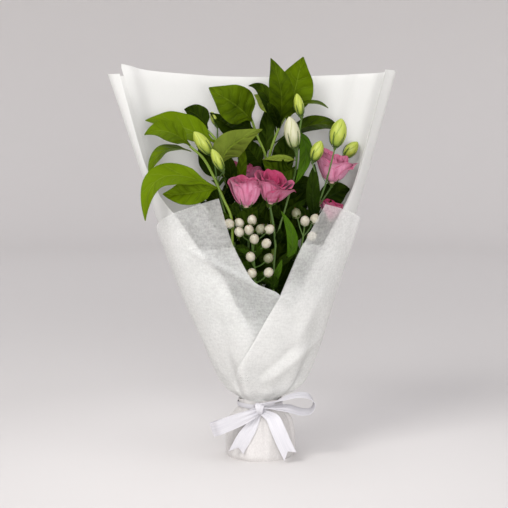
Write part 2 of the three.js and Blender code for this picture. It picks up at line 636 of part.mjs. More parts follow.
function berrySpray({ stem, berries, leaves }) {
  const path = new THREE.CatmullRomCurve3(stem);
  const top = stem.at(-1).z;
  const joinAt = height => path.getPoints(200).reduce((best, p) =>
    (Math.abs(p.z - height) < Math.abs(best.z - height) ? p : best));
  const pieces = [tube(stem, SOFT_STEM)];
  for (const berry of berries) {
    const start = joinAt(Math.min(berry.z - 16, top - 2));
    const bow = start.clone().lerp(berry, 0.5).add(at(0, 1.5, -3));
    pieces.push(tube([start, bow, berry], PEDICEL, 3, 30));
    pieces.push(new THREE.SphereGeometry(BERRY, 6, 5).rotateX(Math.PI / 2).translate(...berry));
  }
  for (const [base, tip, width] of leaves) {
    const middle = base.clone().lerp(tip, 0.5).add(at(0, -2, 3));
    pieces.push(slimLeaf(base, middle, tip, width));
  }
  return fused(pieces);
}

function berrySprays() {
  return {
    berry_spray_left: berrySpray({
      stem: [...throughTheTie(276), at(-1, -36, 215), at(-6, -43, 250), at(-9, -44, 280), at(-12, -43, 308)],
      berries: [at(-41, -52, 326), at(-28, -44, 326), at(-28, -54, 315), at(-11, -44, 330),
        at(-15, -55, 318), at(-8, -60, 306), at(0, -46, 318), at(12, -48, 318), at(8, -57, 300),
        at(-13, -57, 282), at(11, -55, 280), at(-11, -57, 260), at(11, -57, 261)],
      leaves: [[at(-9, -44, 278), at(-34, -48, 296), 12], [at(-7, -43, 262), at(-32, -50, 268), 12],
        [at(-6, -43, 256), at(16, -44, 244), 12], [at(-9, -44, 285), at(10, -40, 300), 11]],
    }),
    berry_spray_right: berrySpray({
      stem: [...throughTheTie(348), at(42, -24, 225), at(52, -36, 275), at(58, -40, 308)],
      berries: [at(49, -30, 338), at(60, -46, 329), at(69, -52, 309), at(73, -38, 331)],
      leaves: [[at(53, -37, 282), at(38, -48, 300), 11], [at(51, -35, 270), at(72, -46, 286), 11]],
    }),
  };
}

// The whole bouquet

function bouquet() {
  const group = new THREE.Group();
  const add = (pieces, material) => {
    for (const [name, geometry] of Object.entries(pieces)) {
      const mesh = new THREE.Mesh(geometry, material);
      mesh.name = name;
      group.add(mesh);
    }
  };
  add(backSheets(), WHITE_PAPER);
  add(frontSheets(), VEIL_PAPER);
  add({ foot_wrap: footWrap() }, FOOT_PAPER);
  add({ ribbon_bow: ribbonBow() }, SATIN);
  add({
    leafy_branch_left_front: branchLeftFront(),
    leafy_branch_left_back: branchLeftBack(),
    leafy_branch_back: branchBack(),
    leafy_branch_right_back: branchRightBack(),
  }, BROAD_GREEN);
  add(flowerStems(), SOFT_GREEN);
  for (const [name, bloom] of Object.entries(blooms)) add({ [name]: bloomBody(bloom) }, PINK);
  for (const [name, bud] of Object.entries(buds)) {
    add({ [name]: budBody(bud) }, name === 'bud_white' ? BUD_WHITE : BUD_GREEN);
  }
  add(berrySprays(), SOFT_GREEN);
  return group;
}

export default bouquet();
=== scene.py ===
import math

import bpy
import numpy as np
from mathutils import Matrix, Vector


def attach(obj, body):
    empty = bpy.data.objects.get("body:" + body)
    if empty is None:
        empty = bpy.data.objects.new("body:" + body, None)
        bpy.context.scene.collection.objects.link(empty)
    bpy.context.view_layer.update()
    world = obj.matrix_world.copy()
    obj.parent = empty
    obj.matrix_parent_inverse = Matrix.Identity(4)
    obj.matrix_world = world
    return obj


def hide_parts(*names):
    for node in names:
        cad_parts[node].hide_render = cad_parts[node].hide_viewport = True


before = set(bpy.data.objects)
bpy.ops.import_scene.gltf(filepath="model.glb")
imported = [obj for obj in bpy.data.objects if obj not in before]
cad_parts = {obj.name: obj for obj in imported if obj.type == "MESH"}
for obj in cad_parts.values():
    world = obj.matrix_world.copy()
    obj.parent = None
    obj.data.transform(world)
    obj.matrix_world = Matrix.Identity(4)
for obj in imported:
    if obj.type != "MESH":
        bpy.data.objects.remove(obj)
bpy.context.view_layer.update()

# A wrapped, hand-tied lisianthus bouquet that stands on its gathered foot.
# Shapes are worked out in millimetres, +Z up, the open front of the wrap facing -Y,
# and become metres when a piece is made.

MM = 0.001
PHOTO_PIXELS = 508
BODY = "root"

TIE_HEIGHT = 72
RIBBON_WIDTH = 20
STEM_RING = 14.5
STEM_LEAN = 0.3
STEM_FOOT = 1.6
WOODY_STEM = 2.3
SOFT_STEM = 1.8
PEDICEL = 1.2
BERRY = 6.8
BUD_HEIGHT = 37
BUD_RADIUS = 9.5
CUP_DROP = 6
SEAT_GAP = 0.3
POLE_RADIUS = 0.01

SHEET_THICKNESS = 0.35
RIBBON_THICKNESS = 0.4
LEAF_THICKNESS = 0.5
PETAL_THICKNESS = 0.4


# Camera

CAMERA_PLACE = (-0.0084, -1.909, 0.474)
CAMERA_PITCH = math.radians(5.8)
FOCAL_PIXELS = 1391
SENSOR = 36


def place_camera():
    data = bpy.data.cameras.new("camera")
    data.sensor_width = SENSOR
    data.lens = FOCAL_PIXELS / PHOTO_PIXELS * SENSOR
    camera = bpy.data.objects.new("camera", data)
    camera.location = CAMERA_PLACE
    camera.rotation_euler = (math.pi / 2 - CAMERA_PITCH, 0, 0)
    bpy.context.scene.collection.objects.link(camera)
    bpy.context.scene.camera = camera


place_camera()


# Places, smooth values and smooth lines

def at(x, y, z):
    return np.array((x, y, z), float)


def unit(vectors):
    return vectors / np.maximum(np.linalg.norm(vectors, axis=-1, keepdims=True), 1e-9)


def through(*knots):
    """A smooth value through (place, value) pairs, which never swings past them."""
    place, value = np.array(knots, float).T
    rise = np.diff(value) / np.diff(place)
    before, after = np.append(rise[0], rise), np.append(rise, rise[-1])
    total = np.where(before + after == 0, 1, before + after)
    slope = np.where(before * after > 0, 2 * before * after / total, 0)

    def value_at(x):
        x = np.clip(x, place[0], place[-1])
        i = np.clip(np.searchsorted(place, x, side="right") - 1, 0, len(place) - 2)
        span = place[i + 1] - place[i]
        t = (x - place[i]) / span
        ease = t * t * (3 - 2 * t)
        start, end = slope[i] * span * t * (1 - t) ** 2, slope[i + 1] * span * t * t * (1 - t)
        return value[i] * (1 - ease) + value[i + 1] * ease + start - end

    return value_at


def smooth_line(knots, samples=24):
    """A centripetal spline through the points, sampled evenly in each stretch."""
    knots = np.array(knots, float)
    padded = np.vstack([2 * knots[0] - knots[1], knots, 2 * knots[-1] - knots[-2]])
    t = np.linspace(0, 1, samples, endpoint=False)[:, None]
    line = []
    for a, b, c, d in zip(padded, padded[1:], padded[2:], padded[3:]):
        ab, bc, cd = (math.sqrt(np.linalg.norm(q - p)) for p, q in ((a, b), (b, c), (c, d)))
        leave = ((b - a) / ab - (c - a) / (ab + bc) + (c - b) / bc) * bc
        arrive = ((c - b) / bc - (d - b) / (bc + cd) + (d - c) / cd) * bc
        line.append((2 * t**3 - 3 * t**2 + 1) * b + (t**3 - 2 * t**2 + t) * leave
                    + (3 * t**2 - 2 * t**3) * c + (t**3 - t**2) * arrive)
    return np.vstack([*line, knots[-1:]])


def evenly(line, pace):
    """The same line with a station about every pace of its length."""
    length = np.append(0, np.cumsum(np.linalg.norm(np.diff(line, axis=0), axis=1)))
    stations = np.linspace(0, length[-1], max(3, round(length[-1] / pace) + 1))
    return np.stack([np.interp(stations, length, line[:, k]) for k in range(line.shape[1])], axis=1)


def turned_onto(axis, turn=0):
    """The rotation that turns by some degrees about +Z and then leans +Z onto an axis."""
    axis = unit(np.array(axis, float))
    spin = math.radians(turn)
    about = np.array([[math.cos(spin), -math.sin(spin), 0], [math.sin(spin), math.cos(spin), 0], [0, 0, 1]])
    x, y, z = axis
    k = 1 / (1 + z)
    lean = np.array([[1 - k * x * x, -k * x * y, x], [-k * x * y, 1 - k * y * y, y], [-x, -y, z]])
    return lean @ about


def once_round(sides):
    """Evenly spaced angles once round."""
    return np.linspace(0, 2 * math.pi, sides, endpoint=False)


def round_points(radius, angle, height):
    """Points at a radius and an angle about +Z, at a height."""
    return np.stack(np.broadcast_arrays(radius * np.cos(angle), radius * np.sin(angle), height), axis=-1)


# Meshes

MARKS = ("along", "across", "under", "tone")
STEM_SIDES = 8


class Shape:
    """Closed bodies gathered into one mesh. Each point carries marks for its finish: along and across
    place it on a leaf, petal or ribbon, under is 1 on the lower face, and tone is how dark, dim or doubled
    it is there. On leaves, petals and berries the darker tone is painted shade, and a tone below 0 on
    petals is painted light; on the wrap it is how doubled the cloth is."""

    def __init__(self):
        self.points, self.faces, self.marks = [], [], {name: [] for name in MARKS}
        self.count = 0

    def add(self, points, faces, **marks):
        points = points.reshape(-1, 3)
        self.points.append(points)
        self.faces += [tuple(np.add(face, self.count).tolist()) for face in faces]
        for name in MARKS:
            self.marks[name].append(np.broadcast_to(np.ravel(marks.get(name, 0.0)), len(points)))
        self.count += len(points)

    def skin(self, middle, thickness, along=None, across=None, tone=0.0, rib=0.0):
        """A thin blade on a grid of points. rib is how far the lower face stands out further."""
        rows, columns = middle.shape[:2]
        normal = unit(np.cross(np.gradient(middle, axis=0), np.gradient(middle, axis=1)))
        if along is None:
            along = np.linspace(0, 1, rows)[:, None]
        if across is None:
            across = np.linspace(-1, 1, columns)[None, :]
        lower = thickness / 2 + np.broadcast_to(rib, (rows, columns))[..., None]
        both = np.stack([middle + normal * thickness / 2, middle - normal * lower])
        number = np.arange(rows * columns).reshape(rows, columns)
        quads = np.stack([number[:-1, :-1], number[:-1, 1:], number[1:, 1:], number[1:, :-1]], axis=-1)
        quads = quads.reshape(-1, 4)
        rim = np.concatenate([number[0, :-1], number[:-1, -1], number[-1, :0:-1], number[:0:-1, 0]])
        after, size = np.roll(rim, -1), rows * columns
        walls = np.stack([rim, rim + size, after + size, after], axis=-1)
        faces = [*quads[:, ::-1], *(quads + size), *walls[:, ::-1]]
        full = (2, rows, columns)
        under = np.array([0.0, 1.0])[:, None, None]
        marks = {"along": along, "across": across, "under": under, "tone": tone}
        self.add(both, faces, **{mark: np.broadcast_to(value, full) for mark, value in marks.items()})

    def rings(self, loops, along=None, across=None, under=0.0, tone=0.0, closed=False):
        """A body through rings of points, closed by a fan at each end or joined end to end."""
        count, sides = loops.shape[:2]
        number = np.arange(count * sides).reshape(count, sides)
        if closed:
            number = np.vstack([number, number[:1]])
        after = np.roll(number, -1, axis=1)
        quads = np.stack([number[:-1], after[:-1], after[1:], number[1:]], axis=-1).reshape(-1, 4)
        points, faces = loops.reshape(-1, 3), [*quads]
        if along is None:
            along = np.linspace(0, 1, count)[:, None]
        if across is None:
            across = np.linspace(-1, 1, sides)[None, :]
        marks = [np.broadcast_to(mark, (count, sides)).ravel() for mark in (along, across, under)]
        if not closed:
            size = count * sides
            points = np.vstack([points, loops[0].mean(axis=0), loops[-1].mean(axis=0)])
            faces += [(size, b, a) for a, b in zip(number[0], after[0])]
            faces += [(size + 1, a, b) for a, b in zip(number[-1], after[-1])]
            marks = [np.append(mark, (mark[0], mark[-1])) for mark in marks]
        along, across, under = marks
        self.add(points, faces, along=along, across=across, under=under, tone=tone)

    def tube(self, line, radius):
        """A round stem along a line, with a radius for each of its stations."""
        ahead = unit(np.gradient(line, axis=0))
        side = unit(np.cross(ahead[0], at(0.3, 1, 0.2)))
        sections = []
        angles = once_round(STEM_SIDES)[:, None]
        for place, forward, size in zip(line, ahead, radius):
            side = unit(side - forward * (side @ forward))
            other = np.cross(forward, side)
            sections.append(place + size * (np.cos(angles) * side + np.sin(angles) * other))
        self.rings(np.array(sections), along=np.arange(len(line))[:, None])

    def turned(self, outline, sides, place, axis, tone=0.0, under=0.0):
        """A round body from (radius, height) pairs, stood on a place along an axis."""
        outline = np.array(outline, float)
        radius, height = np.maximum(outline[:, :1], POLE_RADIUS), outline[:, 1:]
        angles = once_round(sides)
        share = (height - height[0]) / (height[-1] - height[0])
        self.rings(round_points(radius, angles, height) @ turned_onto(axis).T + place, along=share,
                   across=angles / math.pi - 1, under=under, tone=tone)

    def piece(self, name, finish, slot, node, sharp=50):
        """The gathered bodies as one Blender piece that stands for its node."""
        mesh = bpy.data.meshes.new(name)
        mesh.from_pydata((np.vstack(self.points) * MM).tolist(), [], self.faces)
        for mark, values in self.marks.items():
            layer = mesh.attributes.new(mark, "FLOAT", "POINT")
            layer.data.foreach_set("value", np.concatenate(values).astype(np.float32))
        mesh.materials.append(finish)
        mesh.shade_smooth()
        mesh.set_sharp_from_angle(angle=math.radians(sharp))
        made = bpy.data.objects.new(name, mesh)
        bpy.context.scene.collection.objects.link(made)
        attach(made, BODY)
        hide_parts(node)
        return made


# Finishes

def tint(red, green, blue):
    """A colour as seen on screen, 0 to 255, in the linear values that shaders use."""
    shown = (red, green, blue)
    return tuple(((c / 255 + 0.055) / 1.055) ** 2.4 if c > 10 else c / 255 / 12.92 for c in shown)


class Signal:
    """A shader socket that Python sums can use; each sum adds its Math node."""

    def __init__(self, finish, socket):
        self.finish, self.socket = finish, socket

    def math(self, operation, *values):
        return self.finish.node("Math", {"operation": operation}, dict(enumerate(values)))

    def __add__(self, other):
        return self.math("ADD", self, other)

    def __sub__(self, other):
        return self.math("SUBTRACT", self, other)

    def __rsub__(self, other):
        return self.math("SUBTRACT", other, self)

    def __mul__(self, other):
        return self.math("MULTIPLY", self, other)

    def __abs__(self):
        return self.math("ABSOLUTE", self)

    __radd__, __rmul__ = __add__, __mul__


class Finish:
    """A material: one Principled shader, and a method that adds any other node."""

    def __init__(self, name, **constants):
        self.material = bpy.data.materials.new(name)
        self.material.use_nodes = True
        self.tree = self.material.node_tree
        self.shader = self.tree.nodes["Principled BSDF"]
        for key, value in constants.items():
            self.feed(self.shader.inputs[key.replace("_", " ").title().replace("Ior", "IOR")], value)

    def feed(self, socket, value):
        if isinstance(value, Signal):
            self.tree.links.new(value.socket, socket)
        elif isinstance(value, tuple):
            socket.default_value = (*value, 1.0) if len(socket.default_value) == 4 else value
        else:
            socket.default_value = value

    def node(self, kind, settings=None, sockets=None, output=0):
        made = self.tree.nodes.new("ShaderNode" + kind)
        for name, value in (settings or {}).items():
            setattr(made, name, value)
        for key, value in (sockets or {}).items():
            self.feed(made.inputs[key], value)
        return Signal(self, made.outputs[output])

    def shade(self, sockets):
        for name, value in sockets.items():
            self.feed(self.shader.inputs[name], value)

    def glow_through(self, share, colour):
        """Lets a share of the light pass and scatter, as through paper or a leaf."""
        scattered = self.node("BsdfTranslucent", None, {"Color": colour})
        mixed = self.node("MixShader", None, {0: share})
        self.tree.links.new(self.shader.outputs[0], mixed.socket.node.inputs[1])
        self.tree.links.new(scattered.socket, mixed.socket.node.inputs[2])
        self.tree.links.new(mixed.socket, self.tree.nodes["Material Output"].inputs["Surface"])

    def mark(self, name):
        return self.node("Attribute", {"attribute_name": name}, output="Fac")

    def noise(self, scale, detail, stretch=(1, 1, 1), roughness=0.5):
        """Noise whose scale is in waves a metre, stretched along the object's own axes."""
        place = self.node("TexCoord", output="Object")
        drawn = self.node("Mapping", {"vector_type": "POINT"}, {"Vector": place, "Scale": stretch})
        return self.node("TexNoise", None,
                         {"Vector": drawn, "Scale": scale, "Detail": detail, "Roughness": roughness}, "Fac")

    def veins_noise(self, along, across, scale_along, scale_across, seed, detail=2.0):
        """Noise drawn along a leaf or petal by its marks."""
        flat = self.node("CombineXYZ", None, {0: along * scale_along, 1: across * scale_across, 2: seed})
        return self.node("TexNoise", None, {"Vector": flat, "Scale": 1.0, "Detail": detail}, "Fac")

    def blend(self, share, first, second):
        """Two colours mixed by a share of the second."""
        return self.node("Mix", {"data_type": "RGBA"}, {0: share, 6: first, 7: second}, 2)

    def between(self, value, low, high, to_low=0.0, to_high=1.0):
        """The value's share of the way from low to high, smoothly, as a number between two others."""
        return self.node("MapRange", {"interpolation_type": "SMOOTHSTEP"},
                         {0: value, 1: low, 2: high, 3: to_low, 4: to_high})

    def bump(self, height, distance, strength):
        """Relief, with its height in metres."""
        return self.node("Bump", None, {"Height": height, "Distance": distance, "Strength": strength})


# The heights in metres below which the doubled front sheets are painted whiter, as painted light on their
# shaded low part near the tie, and where that whitening is full
PAINTED_LIGHT_HEIGHTS = (0.118, 0.09)
# The length in millimetres of one wave of the satin's weave
WEAVE = 0.5


def back_wrap_finish():
    finish = Finish("white_wrap", roughness=0.62, specular_ior_level=0.3, sheen_weight=0.12)
    cloud = finish.noise(9, 3)
    fibre = finish.noise(900, 2, (1, 1, 0.35))
    white = finish.blend(cloud, tint(239, 239, 238), tint(231, 231, 230))
    finish.shade({
        "Base Color": finish.blend(finish.between(fibre, 0.35, 0.75, 0, 0.2), white, tint(219, 219, 218)),
        "Normal": finish.bump(fibre, 0.00006, 0.4),
    })
    finish.glow_through(0.48, tint(243, 243, 240))
    return finish.material


def veil_finish():
    """Non-woven wrap: pressed fibres, denser here and thinner there, that leaves show through where the
    cloth is single. Low down near the tie the doubled cloth is painted whiter: painted light on its shade."""
    finish = Finish("fibrous_veil", roughness=0.8, specular_ior_level=0.2)
    fine = finish.noise(420, 3, (1, 1, 0.6), 0.7)
    crossed = finish.noise(260, 2, (0.35, 1, 1.4), 0.6)
    cloud = finish.noise(22, 3)
    dense = finish.between(fine * 0.45 + crossed * 0.3 + cloud * 0.25, 0.36, 0.64)
    doubled = finish.mark("tone")
    height = finish.node("SeparateXYZ", None, {0: finish.node("TexCoord", output="Object")}, "Z")
    # Painted light: the doubled cloth turns whiter below these heights, to lighten its shade near the tie
    painted_light_low = finish.between(height, *PAINTED_LIGHT_HEIGHTS)
    single = finish.blend(dense, tint(249, 250, 249), tint(253, 254, 253))
    folded = finish.blend(painted_light_low, tint(234, 234, 232), tint(252, 252, 250))
    finish.shade({
        "Base Color": finish.blend(doubled, single, folded),
        "Alpha": (0.11 + 0.17 * dense + 0.32 * doubled) * (1 - 0.55 * finish.mark("under")),
        "Normal": finish.bump(fine + crossed, 0.00002, 0.3),
    })
    finish.glow_through(0.2, tint(251, 251, 250))
    return finish.material


def foot_finish():
    finish = Finish("foot_wrap_cloth", roughness=0.75, specular_ior_level=0.25, sheen_weight=0.15)
    fibre = finish.noise(700, 3, (1, 1, 0.5))
    cloud = finish.noise(22, 2)
    finish.shade({
        "Base Color": finish.blend(finish.between(fibre + cloud * 0.4, 0.5, 0.9), tint(202, 199, 197),
                                   tint(192, 189, 187)),
        "Normal": finish.bump(fibre, 0.0001, 0.6),
    })
    return finish.material


def satin_finish():
    finish = Finish("white_satin", roughness=0.34, specular_ior_level=0.6)
    along, across = finish.mark("along"), finish.mark("across")
    threads = finish.node("Math", {"operation": "SINE"}, {0: along * (2 * math.pi / WEAVE)})
    selvedge = finish.between(abs(across), 0.9, 0.95)
    streak = finish.veins_noise(along, across, 0.02, 9, 0.3)
    # Darker in long streaks along the ribbon
    streaked = finish.between(streak, 0.35, 0.7)
    finish.shade({
        "Base Color": finish.blend(streaked, tint(197, 195, 199), tint(188, 187, 192)),
        "Roughness": 0.3 + 0.14 * streak + 0.1 * selvedge,
        "Normal": finish.bump(threads * 0.3 + streak + selvedge * 0.6, 0.00012, 0.7),
    })
    return finish.material


def leaf_finish(name, top, shade, lower, vein, gloss, pairs=6.0):
    """A leaf: a midrib and arching side veins, mottled green above and duller below. Painted shade darkens
    it where its tone is high and towards its base.
    """
    finish = Finish(name, specular_ior_level=0.22, specular_tint=(0.55, 0.9, 0.08))
    along, across, under, tone = (finish.mark(mark) for mark in MARKS)
    out = abs(across)
    bent = finish.veins_noise(along, across, 5, 2, tone * 9, 1) * 0.5
    arch = along * pairs - out * 1.5 + out * out * 0.45 + tone + bent
    wave = finish.node("Math", {"operation": "COSINE"}, {0: arch * (2 * math.pi)})
    side_vein = finish.between(wave, 0.84, 1.0) * finish.between(out, 0.98, 0.5)
    midrib = finish.between(out, 0.075, 0.02)
    veins = finish.node("Math", {"operation": "MAXIMUM"}, {0: side_vein * 0.5, 1: midrib})
    mottle = finish.noise(45, 3)
    fine = finish.noise(600, 2)
    quilt = finish.between(wave, 0.9, -0.6)
    # Painted shade: darker with the leaf's tone and towards its base
    depth = finish.between(mottle * 0.4 + tone * 0.75 - along * 0.15 - quilt * 0.04, 0.08, 0.62)
    face = finish.blend(depth, top, shade)
    face = finish.blend(veins * (0.4 - 0.32 * depth), face, vein)
    back = finish.blend(finish.between(mottle * 0.6 + tone * 0.5, 0.3, 0.9), lower, shade)
    back = finish.blend(veins * 0.45, back, vein)
    finish.shade({
        "Base Color": finish.blend(under, face, back),
        "Roughness": gloss + 0.16 * mottle + 0.2 * under,
        "Normal": finish.bump(quilt * 0.5 - veins + mottle * 0.8 + fine * 0.15, 0.0012, 0.7),
    })
    finish.glow_through(0.12, top)
    return finish.material


def stem_finish(name, bright, dark):
    finish = Finish(name, roughness=0.5, specular_ior_level=0.4)
    along, across = finish.mark("along"), finish.mark("across")
    streak = finish.veins_noise(along, across, 0.12, 5, 0.7, 3)
    finish.shade({
        "Base Color": finish.blend(finish.between(streak, 0.3, 0.7), bright, dark),
        "Normal": finish.bump(streak, 0.0004, 0.6),
    })
    return finish.material


def petal_finish():
    """Pink petals: pale in the middle, deeper along rims and along folds, and cream at the base. The deeper
    colour in the folds and on blooms with a high depth is painted shade; a depth below 0 paints light.
    """
    finish = Finish("pink_petal", roughness=0.62, specular_ior_level=0.2, sheen_weight=0.1,
                    sheen_roughness=0.5, subsurface_weight=0.08)
    finish.shade({"Subsurface Radius": (0.004, 0.002, 0.002)})
    along, across, under, tone = (finish.mark(mark) for mark in MARKS)
    streak = finish.veins_noise(along, across, 1.4, 6, tone * 9, 3)
    cloud = finish.noise(75, 2)
    deep = finish.between(streak * 0.7 + cloud * 0.4, 0.42, 0.8)
    pink = finish.blend(deep * (0.7 + 0.7 * tone), tint(208, 140, 168), tint(178, 82, 118))
    rim = finish.between(abs(across), 0.8, 1.0) * 0.3 + finish.between(along, 0.86, 1.0) * 0.55
    pink = finish.blend(rim * (0.3 + streak * 0.9), pink, tint(158, 42, 86))
    # Painted shade: the pink deepens with the tone, which the folds and the shaded blooms raise
    pink = finish.blend((1 - under) * 0.35 + tone * 0.7 - 0.1, pink, tint(146, 36, 76))
    finish.shade({
        "Base Color": finish.blend(finish.between(along, 0.16, 0.0), pink, tint(214, 208, 160)),
        "Normal": finish.bump(streak, 0.0009, 0.5),
    })
    return finish.material


def bud_finish(name, pale, deep, base):
    """A closed bud: pale ridges with darker slanted seams between them, greener at the base."""
    finish = Finish(name, roughness=0.42, specular_ior_level=0.4, subsurface_weight=0.12)
    finish.shade({"Subsurface Radius": (0.003, 0.003, 0.001)})
    along, across, tone = finish.mark("along"), finish.mark("across"), finish.mark("tone")
    streak = finish.veins_noise(along, across, 2.0, 16, 0.4, 3)
    seam = finish.between(tone, 0.45, 0.95)
    body = finish.blend(finish.between(streak, 0.35, 0.75) * 0.5, pale, deep)
    body = finish.blend(seam * 0.8, body, deep)
    finish.shade({
        "Base Color": finish.blend(finish.between(along, 0.42, 0.0) * 0.75, body, base),
        "Normal": finish.bump(streak, 0.0004, 0.5),
    })
    return finish.material


def berry_finish():
    finish = Finish("cream_berry", roughness=0.36, specular_ior_level=0.5, coat_weight=0.15,
                    coat_roughness=0.25, subsurface_weight=0.2)
    finish.shade({"Subsurface Radius": (0.004, 0.003, 0.002)})
    along = finish.mark("along")
    cloud = finish.noise(160, 3)
    cream = finish.blend(finish.between(cloud, 0.35, 0.7), tint(178, 173, 157), tint(158, 152, 132))
    # Painted shade: a berry's tone dims it where it lies in the shade of the others
    shade_dimmed = finish.blend(finish.mark("tone"), cream, tint(112, 114, 86))
    finish.shade({
        "Base Color": finish.blend(finish.between(along, 0.22, 0.0) * 0.6, shade_dimmed, tint(158, 172, 112)),
        "Normal": finish.bump(cloud, 0.0004, 0.3),
    })
    return finish.material


def plain_finish(name, pale, deep, roughness):
    finish = Finish(name, roughness=roughness, specular_ior_level=0.3)
    grain = finish.noise(300, 3)
    finish.shade({
        "Base Color": finish.blend(finish.between(grain, 0.35, 0.7), pale, deep),
        "Normal": finish.bump(grain, 0.0003, 0.5),
    })
    return finish.material


WHITE_WRAP = back_wrap_finish()
VEIL = veil_finish()
FOOT_CLOTH = foot_finish()
SATIN = satin_finish()
BROAD_LEAF = leaf_finish("glossy_leaf", tint(88, 110, 6), tint(6, 19, 0), tint(106, 120, 44),
                         tint(118, 140, 40), 0.38)
SLIM_LEAF = leaf_finish("soft_leaf", tint(58, 90, 16), tint(7, 20, 2), tint(80, 98, 48),
                        tint(94, 118, 60), 0.45, 4.0)
WOODY = stem_finish("woody_stem", tint(116, 140, 36), tint(74, 96, 26))
SOFT = stem_finish("soft_stem", tint(96, 124, 50), tint(50, 76, 30))
PETAL = petal_finish()
GREEN_BUD = bud_finish("green_bud", tint(164, 174, 70), tint(112, 134, 34), tint(96, 124, 34))
CREAM_BUD = bud_finish("cream_bud", tint(184, 183, 154), tint(152, 154, 108), tint(112, 132, 54))
SEPAL = plain_finish("sepal", tint(74, 96, 36), tint(44, 62, 24), 0.55)
CREAM_BERRY = berry_finish()
BROWN_TIP = plain_finish("brown_tip", tint(120, 84, 48), tint(72, 48, 28), 0.7)


# Wrap: four sheets, one round the other, gathered at the tie and open at the front.
# The angle is 0 at the back, 90 at the right side and 180 at the front. These values go by height: the
# middle and the half width, the depths of the front and the back, and the gap from layer to layer.

middle_x = through((50, -1.3), (78, -1.3), (102, 4), (138, 3), (164, 2), (230, -3.5), (322, -7), (535, -13))
half_width = through((50, 19.5), (78, 19.5), (93, 39), (112, 51), (164, 74), (230, 99.5), (322, 132),
                     (535, 194))
front_depth = through((50, 19.5), (78, 19.5), (93, 30), (112, 38), (164, 52), (230, 62), (300, 69),
                      (361, 66), (535, 60))
back_depth = through((50, 19.5), (78, 19.5), (93, 28), (112, 34), (164, 44), (322, 56), (535, 62))
ply = through((50, 1.4), (78, 1.4), (112, 2.2))

# A sheet's rows lie level up to the shoulder, which takes this share of them, and fan out above it.
# WHOLE_WIND holds the angles of a front sheet's two edges at its foot.
SHEET_FOOT = 50
SHOULDER = 150
SHOULDER_SHARE = 0.28
WHOLE_WIND = (-208, 226)
SETTLING_STEPS = 8
SHEET_ROWS = 100
SHEET_COLUMNS = 200

# The cloth is gathered up to one height at the left and another at the right. It is doubled round the
# back and the sides as far as an angle from the back's middle, and more so at the left, which is partly
# a real fold and partly painted light that whitens the side the light falls on.
GATHERED_LEFT, GATHERED_RIGHT = 177, 226
GATHERED_TURN = 60
GATHERED_FADE = 44
FOLD_ANGLE = 128
FOLD_FADE = 16
FOLD_COVER = 0.65
FOLD_AND_LIGHT_LEAN = 0.15

# Creases across the front: how far out, from and to (x, z), and how wide
FRONT_CREASES = (
    (5.6, (-86, 288), (26, 228), 6.5),
    (-2.0, (-70, 260), (12, 200), 10),
    (2.8, (-128, 262), (-40, 96), 6),
    (4.5, (78, 166), (10, 112), 9),
    (-2.5, (44, 158), (2, 120), 7),
    (-2.2, (-15, 128), (-7, 84), 3.5),
    (2.6, (-36, 150), (-18, 84), 6),
    (2.4, (88, 240), (52, 172), 9),
)


def past(value, edge, span):
    """0 before an edge and 1 after it, rising evenly over a span round it."""
    return np.clip((value - edge) / span + 0.5, 0, 1)


def soft_folds(angle, z):
    """How far the wrap stands out in the folds that run up from the tie, the same for every sheet."""
    gathers = np.cos(7 * angle + 0.6) + 0.6 * np.cos(12 * angle + 2.1)
    gathered = through((76, 0), (88, 1.8), (108, 3.0), (160, 1.6), (270, 0))(z)
    sweeps = np.sin(2 * angle + 0.5 + z / 210) + 0.6 * np.sin(5 * angle + 1.7 - z / 160)
    swept = through((120, 0), (260, 1.2), (535, 2.4))(z)
    waves = np.sin(13 * angle + 0.8 - z / 300) + 0.5 * np.sin(19 * angle)
    return gathers * gathered + sweeps * swept + waves * through((300, 0), (420, 1.0), (535, 2.2))(z)


def crease(x, z, start, end, width):
    """1 on a line across the front and less beside it, fading at its ends."""
    start, end = np.array(start, float), np.array(end, float)
    length = np.linalg.norm(end - start)
    ahead = (end - start) / length
    offset = np.stack([x - start[0], z - start[1]], axis=-1)
    t = offset @ ahead / length
    off = offset @ np.array([-ahead[1], ahead[0]])
    return 1 / (1 + (off / width) ** 2) ** 1.5 * through((-0.15, 0), (0.12, 1), (0.85, 1), (1.15, 0))(t)


